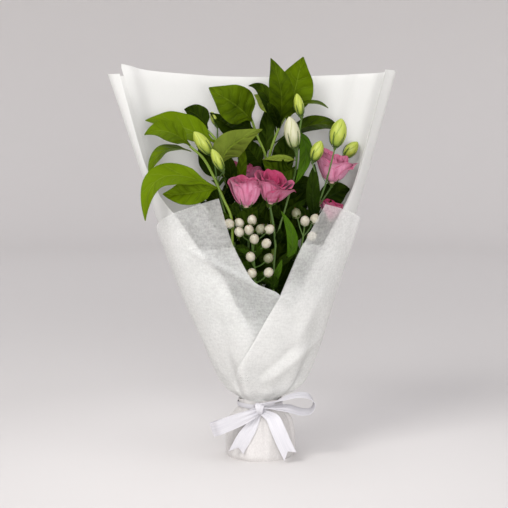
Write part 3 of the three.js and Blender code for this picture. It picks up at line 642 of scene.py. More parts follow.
def wrap_sheet(layer, wind, left, right, top):
    """The grid of a sheet, rows from its foot to its top edge and columns from its left edge to its right,
    and how far each point is covered twice, where the cloth is gathered or folded back at the sides."""
    rise = np.linspace(0, 1, SHEET_ROWS)[:, None]
    share = np.linspace(0, 1, SHEET_COLUMNS)[None, :]
    low = SHEET_FOOT + (SHOULDER - SHEET_FOOT) * rise / SHOULDER_SHARE
    fanned = np.clip((rise - SHOULDER_SHARE) / (1 - SHOULDER_SHARE), 0, 1)
    z = np.broadcast_to(np.minimum(low, SHOULDER), (SHEET_ROWS, SHEET_COLUMNS))
    # The side edges' angles depend on the height, and the top edge's height on the angle
    for _ in range(SETTLING_STEPS):
        degrees = -left(z) + share * (left(z) + right(z))
        z = np.where(fanned > 0, SHOULDER + (top(degrees) - SHOULDER) * fanned, np.minimum(low, SHOULDER))
    angle = np.radians(degrees)
    wound = (degrees - WHOLE_WIND[0]) / (WHOLE_WIND[1] - WHOLE_WIND[0])
    out = (layer + wind * wound) * ply(z) + SHEET_THICKNESS + soft_folds(angle, z)
    depth = np.where(np.cos(angle) < 0, front_depth(z), back_depth(z))
    smooth_x = middle_x(z) + (half_width(z) + out) * np.sin(angle)
    creased = sum(far * crease(smooth_x, z, *line) for far, *line in FRONT_CREASES)
    out = out + creased * np.clip(-2 * np.cos(angle), 0, 1)
    x = middle_x(z) + (half_width(z) + out) * np.sin(angle)
    gathered_to = GATHERED_LEFT + (GATHERED_RIGHT - GATHERED_LEFT) * past(degrees, 0, GATHERED_TURN)
    # Doubled more at the left: partly a real fold, partly painted light that whitens that side
    folded_back = (FOLD_COVER - FOLD_AND_LIGHT_LEAN * np.sin(angle)) * past(-abs(degrees), -FOLD_ANGLE, FOLD_FADE)
    doubled = np.maximum(folded_back, past(gathered_to, z, GATHERED_FADE))
    return np.stack([x, (depth + out) * np.cos(angle), z], axis=-1), doubled


def make_wrap():
    # Side edges are angles by height, and top edges are heights by angle
    low_left = ((50, 172), (170, 172), (229, 160), (252, 157))
    inner_left = through(*low_left, (299, 112), (337, 84), (364, 73), (421, 67), (530, 66))
    outer_left = through(*low_left, (299, 141), (337, 130), (364, 119), (416, 112), (530, 113))
    back_right = through((50, 172), (140, 172), (229, 146), (258, 142), (285, 136), (311, 130), (341, 122),
                         (385, 115), (530, 110))
    flaps = {
        "left": through((50, 208), (180, 208), (233, 195), (249, 179), (263, 174), (307, 166), (361, 162)),
        "right": through((50, 226), (101, 226), (123, 210), (177, 183), (230, 165), (298, 153), (353, 142)),
    }
    inner_top = through((-66, 541), (-40, 531), (0, 524), (60, 528), (112, 532))
    outer_top = through((-115, 526), (-90, 526), (-50, 523), (0, 518), (60, 523), (112, 531))
    low = through((-172, 298), (-120, 284), (-90, 276), (0, 262), (90, 280), (152, 302))
    high = through((-162, 361), (-120, 332), (-90, 312), (0, 294), (90, 327), (142, 353))
    sheets = {
        "back_sheet_inner": (wrap_sheet(0, 0, inner_left, back_right, inner_top), WHITE_WRAP, "back_wrap",
                             (0.36, 0.45)),
        "back_sheet_outer": (wrap_sheet(1, 0, outer_left, back_right, outer_top), WHITE_WRAP, "back_wrap",
                             (0.4, 0.48)),
        "front_sheet_inner": (wrap_sheet(2, 2.5, top=low, **flaps), VEIL, "veil_wrap", (0.4, 0.25)),
        "front_sheet_outer": (wrap_sheet(3, 2.5, top=high, **flaps), VEIL, "veil_wrap", (0.42, 0.3)),
    }
    for node, ((grid, doubled), finish, slot, flat) in sheets.items():
        shape = Shape()
        shape.skin(grid, SHEET_THICKNESS, tone=doubled)
        made = shape.piece("wrap_" + node, finish, slot, node)


# Foot: one more sheet folded flat under the stems and gathered under the ribbon

FOOT_NECK = ((50, 43), (60, 36), (67, 30), (76, 29.3), (80, 29.7))
foot_width = through((0, 46), (5, 48), (25, 47.5), *FOOT_NECK)
foot_depth = through((0, 50), (5, 51.5), (25, 50), *FOOT_NECK)
FOOT_TOP = 80
FOOT_FLOOR = 3
FOOT_THICKNESS = 0.8
FOOT_SIDES = 180
OUTSIDE_ROWS = 38
INSIDE_ROWS = 30

# One tuck runs up the front: its angle, how that shifts with height, half its breadth and its depth
TUCK_ANGLE = 238
TUCK_LEAN = 0.55
TUCK_BREADTH = 5
TUCK_DEPTH = 1.3


def make_foot():
    angles = once_round(FOOT_SIDES)

    def wall(z, inward):
        pleats = np.cos(11 * angles + 0.4) + 0.7 * np.cos(17 * angles + 2.0) + 0.4 * np.cos(29 * angles)
        pleat = through((0, 0), (20, 0.35), (50, 1.0), (66, 0.4), (76, 0.3), (80, 0.8))(z) * pleats
        facet = abs(np.sin(3.5 * angles + 0.35)) + 0.6 * abs(np.sin(5.5 * angles + 1.1))
        pleat = pleat + (0.9 - facet) * through((0, 1.6), (30, 2.2), (52, 1.2), (66, 0))(z)
        beside = abs(np.degrees(angles) - TUCK_ANGLE - (z - 10) * TUCK_LEAN)
        tuck = TUCK_DEPTH * np.clip(1 - beside / TUCK_BREADTH, 0, 1)
        pleat = pleat + tuck * through((0, 0), (10, 1), (55, 1), (66, 0))(z)
        hem = 0.8 * np.sin(3 * angles + 1) * through((0, 0), (6, 1), (20, 0))(z)
        lift = through((70, 0), (80, 1))(z) * 0.7 * np.sin(5 * angles + 0.7)
        x = (foot_width(z) - inward + pleat + hem) * np.cos(angles)
        y = (foot_depth(z) - inward + pleat + hem) * np.sin(angles)
        return np.stack([x, y, z + lift], axis=-1)

    outside = [wall(z, 0) for z in (0, 0.6, 2, 4, 7, *np.linspace(11, FOOT_TOP, OUTSIDE_ROWS))]
    inside = [wall(z, FOOT_THICKNESS) for z in np.linspace(FOOT_TOP, FOOT_FLOOR, INSIDE_ROWS)]
    under = [outside[0] * at(s, s, 1) for s in (0.02, 0.3, 0.6, 0.85, 0.97)]
    floor = [inside[-1] * at(s, s, 0) + at(0, 0, FOOT_THICKNESS) for s in (0.97, 0.6, 0.02)]
    shape = Shape()
    shape.rings(np.array([*under, *outside, *inside, *floor]))
    foot = shape.piece("gathered_foot", FOOT_CLOTH, "foot_wrap", "foot_wrap")


# Ribbon: a band round the neck, a knot, two loops and two tails

BAND_RADIUS = 31.2
BAND_LOW, BAND_MIDDLE, BAND_HIGH = 69, 72, 75
BAND_SIDES = 96
BAND_SECTION = (
    (0.3, BAND_LOW), (0.5, BAND_LOW + 1.5), (0.3, BAND_MIDDLE), (0.6, BAND_HIGH - 1.5), (0.3, BAND_HIGH),
    (-0.2, BAND_HIGH), (-0.2, BAND_MIDDLE), (-0.2, BAND_LOW),
)
KNOT = at(-1, -38, 71)
KNOT_RADII = (6.5, 8.5)
KNOT_WIDTH = 12
KNOT_SIDES = 40
KNOT_COLUMNS = 12
RIBBON_PACE = 1.6
RIBBON_COLUMNS = 13
RIBBON_PLEATS = 2.5
PLEAT_DEPTH = 2.0
NOTCH_LENGTH = 9
NOTCH_DEPTH = 8


def ribbon(shape, stations, notch=False):
    """A strip through stations of a middle, the direction across it and its share of the width."""
    middles = np.array([s[0] for s in stations])
    turns = np.array([unit(np.array(s[1], float)) * s[2] for s in stations])
    line = evenly(smooth_line(np.hstack([middles, turns * RIBBON_WIDTH]), 16), RIBBON_PACE)
    middle, across = line[:, :3], line[:, 3:]
    span = np.linspace(-0.5, 0.5, RIBBON_COLUMNS)[None, :, None]
    grid = middle[:, None] + across[:, None] * span
    length = np.append(0, np.cumsum(np.linalg.norm(np.diff(middle, axis=0), axis=1)))[:, None]
    squeeze = 1 - np.linalg.norm(across, axis=1)[:, None] / RIBBON_WIDTH
    normal = unit(np.cross(np.gradient(grid, axis=0), np.gradient(grid, axis=1)))
    pleat = np.cos(span[..., 0] * 2 * math.pi * RIBBON_PLEATS) * squeeze * PLEAT_DEPTH
    grid = grid + normal * pleat[..., None]
    if notch:
        near_end = np.clip((length - length[-1] + NOTCH_LENGTH) / NOTCH_LENGTH, 0, 1)
        cut = NOTCH_DEPTH * near_end * (1 - 2 * np.abs(span[..., 0]))
        grid = grid - unit(np.gradient(middle, axis=0))[:, None] * cut[..., None]
    shape.skin(grid, RIBBON_THICKNESS, along=length, across=2 * span[..., 0])


def ribbon_knot(shape):
    """A short band of ribbon wound once round the middle of the bow."""
    angles = once_round(KNOT_SIDES)[:, None]
    span = np.linspace(-1, 1, KNOT_COLUMNS)[None, :]
    bulge = 1 - 0.16 * span**2 + 0.05 * np.cos(7 * span + 2 * angles)
    deep, tall = KNOT_RADII
    x = span * KNOT_WIDTH / 2 * (1 + 0.25 * np.sin(angles + 0.6))
    outer = np.stack([x, deep * bulge * np.cos(angles), tall * bulge * np.sin(angles)], axis=-1)
    inner = outer * at(1, 0.8, 0.8)
    shape.rings(np.concatenate([outer, inner[:, ::-1]], axis=1) + KNOT, closed=True,
                along=angles * tall, across=np.concatenate([span, span[:, ::-1]], axis=1))


def neck_band(shape):
    angles = once_round(BAND_SIDES)[:, None]
    out, level = np.array(BAND_SECTION).T
    radius = BAND_RADIUS + out + 0.25 * np.sin(6 * angles)
    height = level + 0.5 * np.sin(2 * angles + 0.4)
    loops = round_points(radius, angles, height)
    shape.rings(loops[:, ::-1], closed=True, along=angles * BAND_RADIUS)


def make_bow():
    shape = Shape()
    neck_band(shape)
    left = (-0.33, 0, 0.95)
    ribbon(shape, [
        (at(0, -38, 69), left, 0.5), (at(-12, -48.5, 65), left, 0.7), (at(-26, -52, 60), left, 0.9),
        (at(-44, -53, 53), left, 1), (at(-57, -52, 47.5), left, 1), (at(-62, -47.5, 45), left, 1),
        (at(-66, -44.5, 43.5), left, 1), (at(-62, -42, 44.5), left, 1),
        (at(-42, -41, 52), left, 0.9), (at(-20, -40, 61), left, 0.7), (at(0, -35, 70), left, 0.5),
    ])
    ribbon(shape, [
        (at(-2, -38, 74), (-0.3, -0.5, 0.8), 0.5), (at(14, -43, 79.5), (-0.2, -0.75, 0.6), 0.55),
        (at(28, -43, 85), (-0.1, -0.95, -0.1), 0.65), (at(52, -41, 91), (0, -0.95, -0.3), 0.78),
        (at(67, -40, 89), (0.05, -0.97, -0.22), 0.95), (at(74, -40, 79.5), (0.1, -0.98, -0.05), 1),
        (at(69, -40, 69), (0.06, -0.97, -0.2), 1), (at(57, -40, 67.5), (0, -0.93, -0.35), 0.95),
        (at(38, -43, 73), (0.1, -0.85, -0.5), 0.85), (at(16, -43, 73), (0.2, -0.95, -0.1), 0.6),
        (at(-2, -37, 70), (0, -0.4, 0.9), 0.5),
    ])
    ribbon(shape, [
        (at(2, -38, 68), (0.8, 0, 0.5), 0.5), (at(17, -47, 60), (0.9, 0, 0.42), 0.9),
        (at(24, -53, 46), (0.95, 0, 0.3), 1), (at(32, -57, 28), (0.93, 0, 0.38), 1),
        (at(41, -60, 10), (0.8, 0, 0.6), 1),
    ], notch=True)
    ribbon(shape, [
        (at(-3, -36.5, 66), (0.9, 0, -0.3), 0.5), (at(-11, -45.5, 50), (0.9, 0, -0.4), 0.8),
        (at(-21, -50, 35), (0.93, 0, -0.35), 1), (at(-33, -50, 13), (0.95, 0, -0.2), 1),
    ], notch=True)
    ribbon_knot(shape)
    bow = shape.piece("satin_bow", SATIN, "satin_ribbon", "ribbon_bow")


# Stems

SPIRAL = 56
SPIRAL_HEIGHTS = (STEM_FOOT, 40, 110, 150)
STEM_PACE = 7


def through_the_tie(turn):
    """The stems cross at the tie like tent poles; each comes to its own side above it."""
    throat = math.radians(turn - SPIRAL)
    out, side = at(math.cos(throat), math.sin(throat), 0), at(-math.sin(throat), math.cos(throat), 0)
    return [out * STEM_RING + side * STEM_LEAN * (z - TIE_HEIGHT) + at(0, 0, z) for z in SPIRAL_HEIGHTS]


def stem(shape, knots, radius, taper=1.0):
    """A stem along a route, which thins to a share of its radius, and its line for what grows on it."""
    line = evenly(smooth_line(knots), STEM_PACE)
    shape.tube(line, radius * np.linspace(1, taper, len(line)))
    return line


# Leaves

ovate = through((0, 0.06), (0.1, 0.16), (0.22, 0.72), (0.42, 1), (0.62, 0.88), (0.84, 0.42), (1, 0.03))
lance = through((0, 0.25), (0.2, 0.8), (0.45, 1), (0.7, 0.78), (0.9, 0.34), (1, 0.05))
TO_CAMERA = at(0, -0.95, 0.3)
SKYWARD = at(0, -0.35, 0.94)
LEAF_ROWS = 25
LEAF_COLUMNS = 15
RIB_HEIGHT = 0.7
RIB_BREADTH = 0.1
LEAF_CLEARANCE = 9
FRONT_CLEARANCE = 30

# Length, width and tone of the leaves that stand in pairs; their high tone is painted shade, deep inside
BROAD_PAIR = (46, 25, 0.85)
SLIM_PAIR = (38, 12, 0.7)
SLIM_PAIR_HEIGHTS = (200, 232, 264, 296, 330)

leaf_chance = np.random.default_rng(5)


def leaf(shape, base, middle, tip, width, face, tone, outline=ovate, fold=0.12, wave=0.03):
    """A blade whose midrib bends through its middle; it folds along the rib and waves at its edges.
    Its upper side looks towards face, and its tone runs from 0, bright, to 1, dark: painted shade, high on
    the leaves that lie in shade deep in the bouquet."""
    base, middle, tip = (np.array(p, float) for p in (base, middle, tip))
    bend = 2 * middle - base / 2 - tip / 2
    t = np.linspace(0, 1, LEAF_ROWS)[:, None]
    s = np.linspace(-1, 1, LEAF_COLUMNS)[None, :]
    rib = (1 - t) ** 2 * base + 2 * t * (1 - t) * bend + t**2 * tip
    ahead = unit(2 * (1 - t) * (bend - base) + 2 * t * (tip - bend))
    across = unit(np.cross(np.array(face, float), ahead))
    normal = unit(np.cross(ahead, across))
    half = 0.5 * width * outline(t) * s
    phase = leaf_chance.uniform(0, 6.28, 3)
    ripple = wave * width * s**2 * np.sin(t * 15 + phase[0] + np.sign(s) * phase[1]) * np.sin(math.pi * t)
    lift = np.abs(half) * 2 * fold + ripple
    sway = 0.02 * width * np.sin(t * 6 + phase[2]) * t
    grid = rib[:, None] + across[:, None] * (half + sway)[..., None] + normal[:, None] * lift[..., None]
    shape.skin(grid, LEAF_THICKNESS, along=t, across=s, tone=tone + leaf_chance.uniform(-0.12, 0.12),
               rib=RIB_HEIGHT * np.exp(-((s / RIB_BREADTH) ** 2)) * (1 - t) * np.minimum(1, width / 30))


def slim_leaf(shape, base, middle, tip, width, face=TO_CAMERA, tone=0.5):
    leaf(shape, base, middle, tip, width, face, tone, lance, fold=0.08, wave=0.012)


def inside_wrap(point):
    """The point itself, or the nearest towards the middle that clears the sheets."""
    x, y, z = point
    wide = half_width(z) - LEAF_CLEARANCE
    deep = back_depth(z) - LEAF_CLEARANCE if y > 0 else front_depth(z) - FRONT_CLEARANCE
    off = np.hypot((x - middle_x(z)) / wide, y / deep)
    return point if off < 1 else at(middle_x(z) + (x - middle_x(z)) / off, y / off, z)


def leaf_pairs(shape, blade, line, heights, length, width, tone):
    """Leaves in opposite pairs, each pair across the one below, kept within the wrap."""
    for k, height in enumerate(heights):
        i = int(np.clip(np.argmin(np.abs(line[:, 2] - height)), 1, len(line) - 2))
        ahead = unit(line[i + 1] - line[i - 1])
        turn = 1.57 * k + leaf_chance.uniform(-0.4, 0.4)
        for side in (-1, 1):
            out = side * at(math.cos(turn), math.sin(turn), 0)
            reach = length * leaf_chance.uniform(0.85, 1.15)
            middle = inside_wrap(line[i] + out * reach * 0.38 + ahead * reach * 0.36)
            tip = inside_wrap(line[i] + out * reach * 0.72 + ahead * reach * leaf_chance.uniform(0.6, 0.85))
            blade(shape, line[i], middle, tip, width * leaf_chance.uniform(0.85, 1.15), TO_CAMERA,
                  tone + leaf_chance.uniform(-0.15, 0.15))


def branch(node, knots, broad, slim=(), pairs=()):
    """A woody stem, its broad and slim leaves by base, middle, tip, width, face and tone, and the heights of
    its leaf pairs, standing for one branch."""
    wood, blades = Shape(), Shape()
    line = stem(wood, knots, WOODY_STEM, 0.8)
    for place in broad:
        leaf(blades, *place)
    for place in slim:
        slim_leaf(blades, *place)
    leaf_pairs(blades, leaf, line, pairs, *BROAD_PAIR)
    wood.piece(node + "_stem", WOODY, "broad_leaf", node)
    blades.piece(node + "_leaves", BROAD_LEAF, "broad_leaf", node)


def make_branches():
    # Tones near 1 paint shade on the leaves that lie deep in the bouquet
    branch("leafy_branch_left_front", [
        *through_the_tie(168), (-36, -10, 205), (-38, -32, 280), (-39, -38, 333), (-49, -36, 357),
        (-62, -32, 386), (-77, -28, 413), (-95, -25, 429)], [
        ((-55, -34, 371), (-131, -54, 388), (-153, -67, 331), 36, (-0.25, -0.8, 0.5), 0.1),
        ((-56, -34, 374), (-97, -42, 366), (-131, -45, 366), 35, TO_CAMERA, 0.33),
        ((-93, -26, 422), (-130, -38, 422), (-149, -49, 391), 26, SKYWARD, 0.35),
        ((-93, -25, 428), (-125, -32, 449), (-155, -38, 444), 32, (0, -0.85, 0.5), 0.18),
    ], pairs=(215, 262, 310))
    branch("leafy_branch_left_back", [
        *through_the_tie(132), (-25, 20, 230), (-33, 12, 333), (-47, 6, 382), (-52, 0, 405),
        (-59, 5, 434), (-76, 16, 453)], [
        ((-59, 5, 432), (-109, 0, 455), (-156, -12, 464), 42, (0, -0.75, 0.6), 0.08),
        ((-72, 15, 452), (-87, 22, 471), (-105, 25, 478), 30, TO_CAMERA, 0.7),
        ((-50, -4, 401), (-41, -16, 428), (3, -27, 451), 40, (-0.2, 0.95, 0.1), 0.2),
        ((-32, 12, 327), (-56, 14, 350), (-80, 12, 372), 34, TO_CAMERA, 0.8),
        ((-48, 6, 386), (-70, 16, 402), (-86, 22, 424), 26, TO_CAMERA, 0.9),
    ], [
        ((-42, 9, 357), (-27, -1, 392), (-23, 1, 430), 16, TO_CAMERA, 0.45),
        ((-40, 8, 366), (-41, -2, 396), (-46, -4, 420), 18, TO_CAMERA, 0.75),
    ], (225, 270, 312, 350))
    branch("leafy_branch_back", [
        *through_the_tie(96), (1, 30, 230), (4, 32, 283), (11, 30, 353), (8, 26, 413), (-4, 23, 442),
        (-11, 20, 463)], [
        ((-11, 20, 462), (-36, 8, 486), (-70, 2, 508), 55, (0.1, -0.95, 0.25), 0.33),
        ((-5, 23, 444), (-36, 32, 464), (-59, 32, 466), 26, TO_CAMERA, 0.7),
        ((2, 28, 436), (-34, 33, 450), (-70, 32, 474), 34, TO_CAMERA, 0.65),
        ((4, 26, 398), (-12, 26, 420), (-26, 22, 440), 28, TO_CAMERA, 0.8),
        ((5, 30, 240), (3, 27, 272), (-3, 26, 306), 38, TO_CAMERA, 0.95),
        ((8, 26, 410), (9, 37, 450), (11, 36, 486), 22, TO_CAMERA, 0.95),
        ((6, 32, 300), (-20, 33, 325), (-44, 34, 350), 34, TO_CAMERA, 0.9),
        ((10, 29, 372), (-14, 36, 398), (-30, 38, 424), 28, TO_CAMERA, 0.9),
    ], pairs=(240, 290, 335, 385))
    branch("leafy_branch_right_back", [
        *through_the_tie(60), (18, 24, 230), (17, 22, 300), (14, 20, 353), (12, 14, 409), (27, 12, 455),
        (42, 14, 480)], [
        ((27, 12, 455), (28, -8, 503), (15, 2, 548), 34, TO_CAMERA, 0.4),
        ((37, 14, 462), (49, 24, 509), (60, 18, 550), 51, (0.05, -0.95, 0.3), 0.36),
        ((22, 13, 442), (9, 20, 497), (-16, 26, 511), 20, TO_CAMERA, 0.6),
        ((20, 20, 470), (8, 26, 488), (-8, 28, 499), 22, -TO_CAMERA, 0.1),
        ((20, 13, 432), (76, 4, 458), (109, 0, 444), 30, (0, -0.65, 0.75), 0.45),
        ((17, 22, 300), (42, 24, 325), (68, 22, 352), 34, TO_CAMERA, 0.9),
        ((14, 20, 345), (38, 22, 374), (64, 16, 396), 34, TO_CAMERA, 0.85),
        ((14, 18, 372), (34, 24, 404), (44, 26, 436), 24, TO_CAMERA, 0.85),
        ((17, 22, 290), (52, 16, 318), (84, 16, 344), 36, TO_CAMERA, 0.9),
        ((17, 23, 262), (34, 26, 290), (50, 28, 322), 36, TO_CAMERA, 0.95),
        ((18, 24, 226), (32, 16, 250), (44, 8, 276), 34, TO_CAMERA, 0.95),
        ((15, 20, 352), (46, 18, 372), (72, 14, 384), 32, TO_CAMERA, 0.9),
        ((18, 20, 318), (48, 16, 350), (66, 12, 374), 32, TO_CAMERA, 0.85),
        ((20, 20, 196), (25, 20, 228), (30, 18, 262), 40, TO_CAMERA, 0.95),
        ((14, 22, 396), (38, 28, 424), (54, 28, 450), 32, TO_CAMERA, 0.75),
    ], [
        ((26, 12, 452), (19, -8, 474), (10, -14, 487), 14, (-0.3, -0.9, 0.2), 0.6),
        ((41, 14, 478), (70, 6, 488), (93, 2, 480), 15, SKYWARD, 0.3),
    ], (235, 280, 320))


# Lisianthus: each stem carries its cups, and the blooms and buds stand on them

# A bloom is turned by some degrees about its axis. low_side is the side, in degrees round it, on which
# its petals droop, and droop says how far. depth deepens its colour, as painted shade on a bloom that
# lies in shade, or below 0 pales it, as painted light; crumple deepens its folds.
BLOOMS = {
    "bloom_left": {"seat": at(-19, -34, 347), "axis": at(0.03, -0.08, 1), "turn": -88, "size": 0.96,
                   "low_side": 60, "droop": 0.06, "depth": 0.2, "crumple": 1.2},
    "bloom_middle": {"seat": at(14, -35, 352), "axis": at(0.12, -0.2, 0.96), "turn": -126, "size": 0.97,
                     "low_side": 85, "droop": 0.32, "depth": 0.45, "crumple": 2.2},
    "bloom_right": {"seat": at(98, -4, 378), "axis": at(0.04, -0.1, 0.99), "turn": -70, "size": 1.0,
                    "low_side": 60, "droop": 0.34, "depth": -0.34, "crumple": 1.6},
    "bloom_low": {"seat": at(95, -14, 326), "axis": at(0.15, -0.1, 0.9), "turn": 0, "size": 0.66,
                  "low_side": 0, "droop": 0.1, "depth": 0.5, "crumple": 1},
    "bloom_back": {"seat": at(-25, 30, 365), "axis": at(0.02, -0.1, 1), "turn": 30, "size": 0.95,
                   "low_side": 0, "droop": 0.1, "depth": 0.25, "crumple": 1},
}
# slim is a bud's girth beside that of the common bud, and sepals their number where it isn't five
BUDS = {
    "bud_left_high": {"seat": at(-67, -36, 420), "axis": at(-23, -6, 30), "size": 0.98, "slim": 0.9},
    "bud_left_low": {"seat": at(-51, -49, 399), "axis": at(-13, -5, 26), "size": 0.82, "slim": 0.82},
    "bud_top": {"seat": at(55, -18, 471), "axis": at(-6, -2, 29), "size": 0.79, "slim": 0.82},
    "bud_white": {"seat": at(46, -36, 428), "axis": at(-7, -4, 41), "size": 1.12, "slim": 0.94},
    "bud_right_high": {"seat": at(101, -36, 430), "axis": at(8, -4, 37), "size": 1, "slim": 1.12},
    "bud_right_front": {"seat": at(72, -32, 411), "axis": at(9, -4, 24), "size": 0.74, "slim": 1.15},
    "bud_right_back": {"seat": at(118, 19, 414), "axis": at(16, -2, 19), "size": 0.7, "slim": 1.2},
    "bud_small": {"seat": at(-61, 36, 458), "axis": at(-6, 0, 16), "size": 0.5, "slim": 1, "sepals": 3},
}
CUP = ((0, -CUP_DROP), (1.5, -CUP_DROP), (1.9, -4.6), (2.7, -2.2), (3.3, -SEAT_GAP), (0, -SEAT_GAP))
CUP_SIDES = 14
SEPALS = 5
SEPAL_ROWS = 12
SEPAL_COLUMNS = 5
SEPAL_THICKNESS = 0.4


def under(name):
    """The end of a stem, just inside the cup that it carries."""
    held = BLOOMS.get(name) or BUDS[name]
    return held["seat"] + unit(held["axis"]) * (1 - CUP_DROP)


def calyx(shape, name):
    """A green cup with long narrow sepals, which hug the bloom or bud above it."""
    held = BLOOMS.get(name) or BUDS[name]
    t = np.linspace(0, 1, SEPAL_ROWS)[:, None]
    s = np.linspace(-1, 1, SEPAL_COLUMNS)[None, :]
    if name in BLOOMS:
        reach, rise = 15 * held["size"], 13 * held["size"]
        height = through((0, -2.5), (0.5, 0.36 * rise), (1, rise))(t)
        radius = through((0, 2.2), (0.5, 0.7 * reach), (1, reach))(t)
    else:
        wide, tall = BUD_RADIUS * held["size"] * held["slim"], BUD_HEIGHT * held["size"]
        height = through((0, -2.5), (0.3, 0.08 * tall), (1, 0.52 * tall))(t)
        hugging = 1.06 * wide * BUD_OUTLINE(np.maximum(height, 0) / tall)
        radius = np.minimum(hugging, 2.2 + 1.3 * (height + 2.5))
    stand = turned_onto(held["axis"])
    shape.turned(CUP, CUP_SIDES, held["seat"], held["axis"])
    sepals = held.get("sepals", SEPALS)
    for k in range(sepals):
        angle = 2 * math.pi * k / sepals + 0.4
        out, side = at(math.cos(angle), math.sin(angle), 0), at(-math.sin(angle), math.cos(angle), 0)
        width = 1.9 * (1 - t) ** 0.7 + 0.25
        away = radius + 0.5 + 0.5 * np.abs(s)
        grid = away[..., None] * out + (0.5 * width * s)[..., None] * side + height[..., None] * at(0, 0, 1)
        shape.skin(grid @ stand.T + held["seat"], SEPAL_THICKNESS, along=t, across=s)


def flower_stem(node, knots, branches, held, leaves=(), glossy=()):
    """A soft stem with its branches, cups and narrow leaves, standing for one node."""
    green, cup_shape, blades = Shape(), Shape(), Shape()
    line = stem(green, knots, SOFT_STEM, 0.75)
    for route, radius in branches:
        stem(green, route, radius, 0.85)
    for name in held:
        calyx(cup_shape, name)
    for place in leaves:
        slim_leaf(blades, *place)
    leaf_pairs(blades, slim_leaf, line, SLIM_PAIR_HEIGHTS, *SLIM_PAIR)
    green.piece(node + "_green", SOFT, "soft_stem", node)
    if glossy:
        bright = Shape()
        for place in glossy:
            leaf(bright, *place)
        bright.piece(node + "_glossy_leaves", BROAD_LEAF, "soft_stem", node)
    cup_shape.piece(node + "_calyces", SEPAL, "soft_stem", node)
    blades.piece(node + "_leaves", SLIM_LEAF, "soft_stem", node)


def make_flower_stems():
    flower_stem("flower_stem_left", [
        *through_the_tie(204), (-30, -14, 230), (-36, -14, 300), (-50, -15, 345), (-58, -21, 378)], [
        ([(-57, -20, 374), (-55, -36, 387), under("bud_left_low")], PEDICEL),
        ([(-58, -21, 377), (-61, -33, 402), under("bud_left_high")], PEDICEL),
    ], ["bud_left_low", "bud_left_high"], [
        ((-57, -20, 372), (-60, -30, 380), (-66, -37, 383), 5),
        ((-57, -20, 374), (-50, -30, 384), (-45, -38, 385), 5),
    ])
    flower_stem("flower_stem_front", [
        *through_the_tie(240), (-20, -28, 230), (-23, -31, 300), under("bloom_left")], [
        ([(-20, -28, 232), (-16, 2, 300), (-22, 22, 345), under("bloom_back")], SOFT_STEM),
        ([(-20, 17, 332), (-47, 43, 372), (-59, 43, 412), under("bud_small")], PEDICEL),
    ], ["bloom_left", "bloom_back", "bud_small"])
    flower_stem("flower_stem_middle", [
        *through_the_tie(312), (18, -25, 230), (22, -22, 300), (36, -13, 350), (48, -11, 395),
        (52, -13, 440), under("bud_top")], [
        ([(21, -24, 292), (18, -30, 322), under("bloom_middle")], SOFT_STEM),
        ([(47, -11, 388), (49, -24, 408), under("bud_white")], PEDICEL),
    ], ["bloom_middle", "bud_white", "bud_top"], [
        ((53, -13, 446), (62, -20, 418), (48, -17, 378), 18, (-0.1, -0.95, 0.2), 0.05),
        ((37, -42, 281), (43, -50, 306), (28, -50, 343), 15, TO_CAMERA, 0.1),
        ((19, -25, 245), (24, -42, 260), (29, -50, 278), 9, TO_CAMERA, 0.1),
    ], glossy=[
        ((48, -13, 401), (28, -12, 394), (4, -6, 409), 33, (0, -1, 0.1), 0.5),
        ((50, -15, 409), (27, -13, 413), (3, -7, 410), 9, (0, 0.95, -0.2), 0),
    ])
    flower_stem("flower_stem_right", [
        *through_the_tie(24), (46, 0, 220), (62, -12, 290), (74, -21, 340)], [
        ([(73, -21, 338), (87, -14, 358), under("bloom_right")], PEDICEL),
        ([(74, -21, 339), (86, -35, 372), (94, -40, 402), under("bud_right_high")], PEDICEL),
        ([(73, -20, 336), (78, -29, 380), under("bud_right_front")], PEDICEL),
        ([(72, -20, 334), (98, 22, 372), under("bud_right_back")], PEDICEL),
        ([(64, -14, 297), (77, -18, 312), under("bloom_low")], PEDICEL),
    ], ["bloom_right", "bud_right_high", "bud_right_front", "bud_right_back", "bloom_low"], [
        ((74, -20, 332), (71, -33, 370), (74, -27, 405), 19, TO_CAMERA, 0.8),
        ((61, -11, 286), (82, 4, 310), (102, 8, 335), 26, TO_CAMERA, 0.8),
        ((84, 0, 348), (103, 12, 363), (124, 14, 368), 34, TO_CAMERA, 0.8),
    ])


# Blooms

PETAL_ROWS = 25
PETAL_COLUMNS = 27
BLOOM_CORE = ((0, 0), (3.4, 0), (3.8, 2.2), (0, 5))
CORE_SIDES = 12

# A petal from its base to its rim: how far out, how high and how wide
spread = through((0, 0.14), (0.25, 0.44), (0.6, 0.8), (1, 1.02))
climb = through((0, 0), (0.25, 0.13), (0.6, 0.52), (1, 1))
breadth = through((0, 0.06), (0.33, 0.68), (0.67, 0.98), (0.9, 1), (1, 0.86))

petal_chance = np.random.default_rng(5)


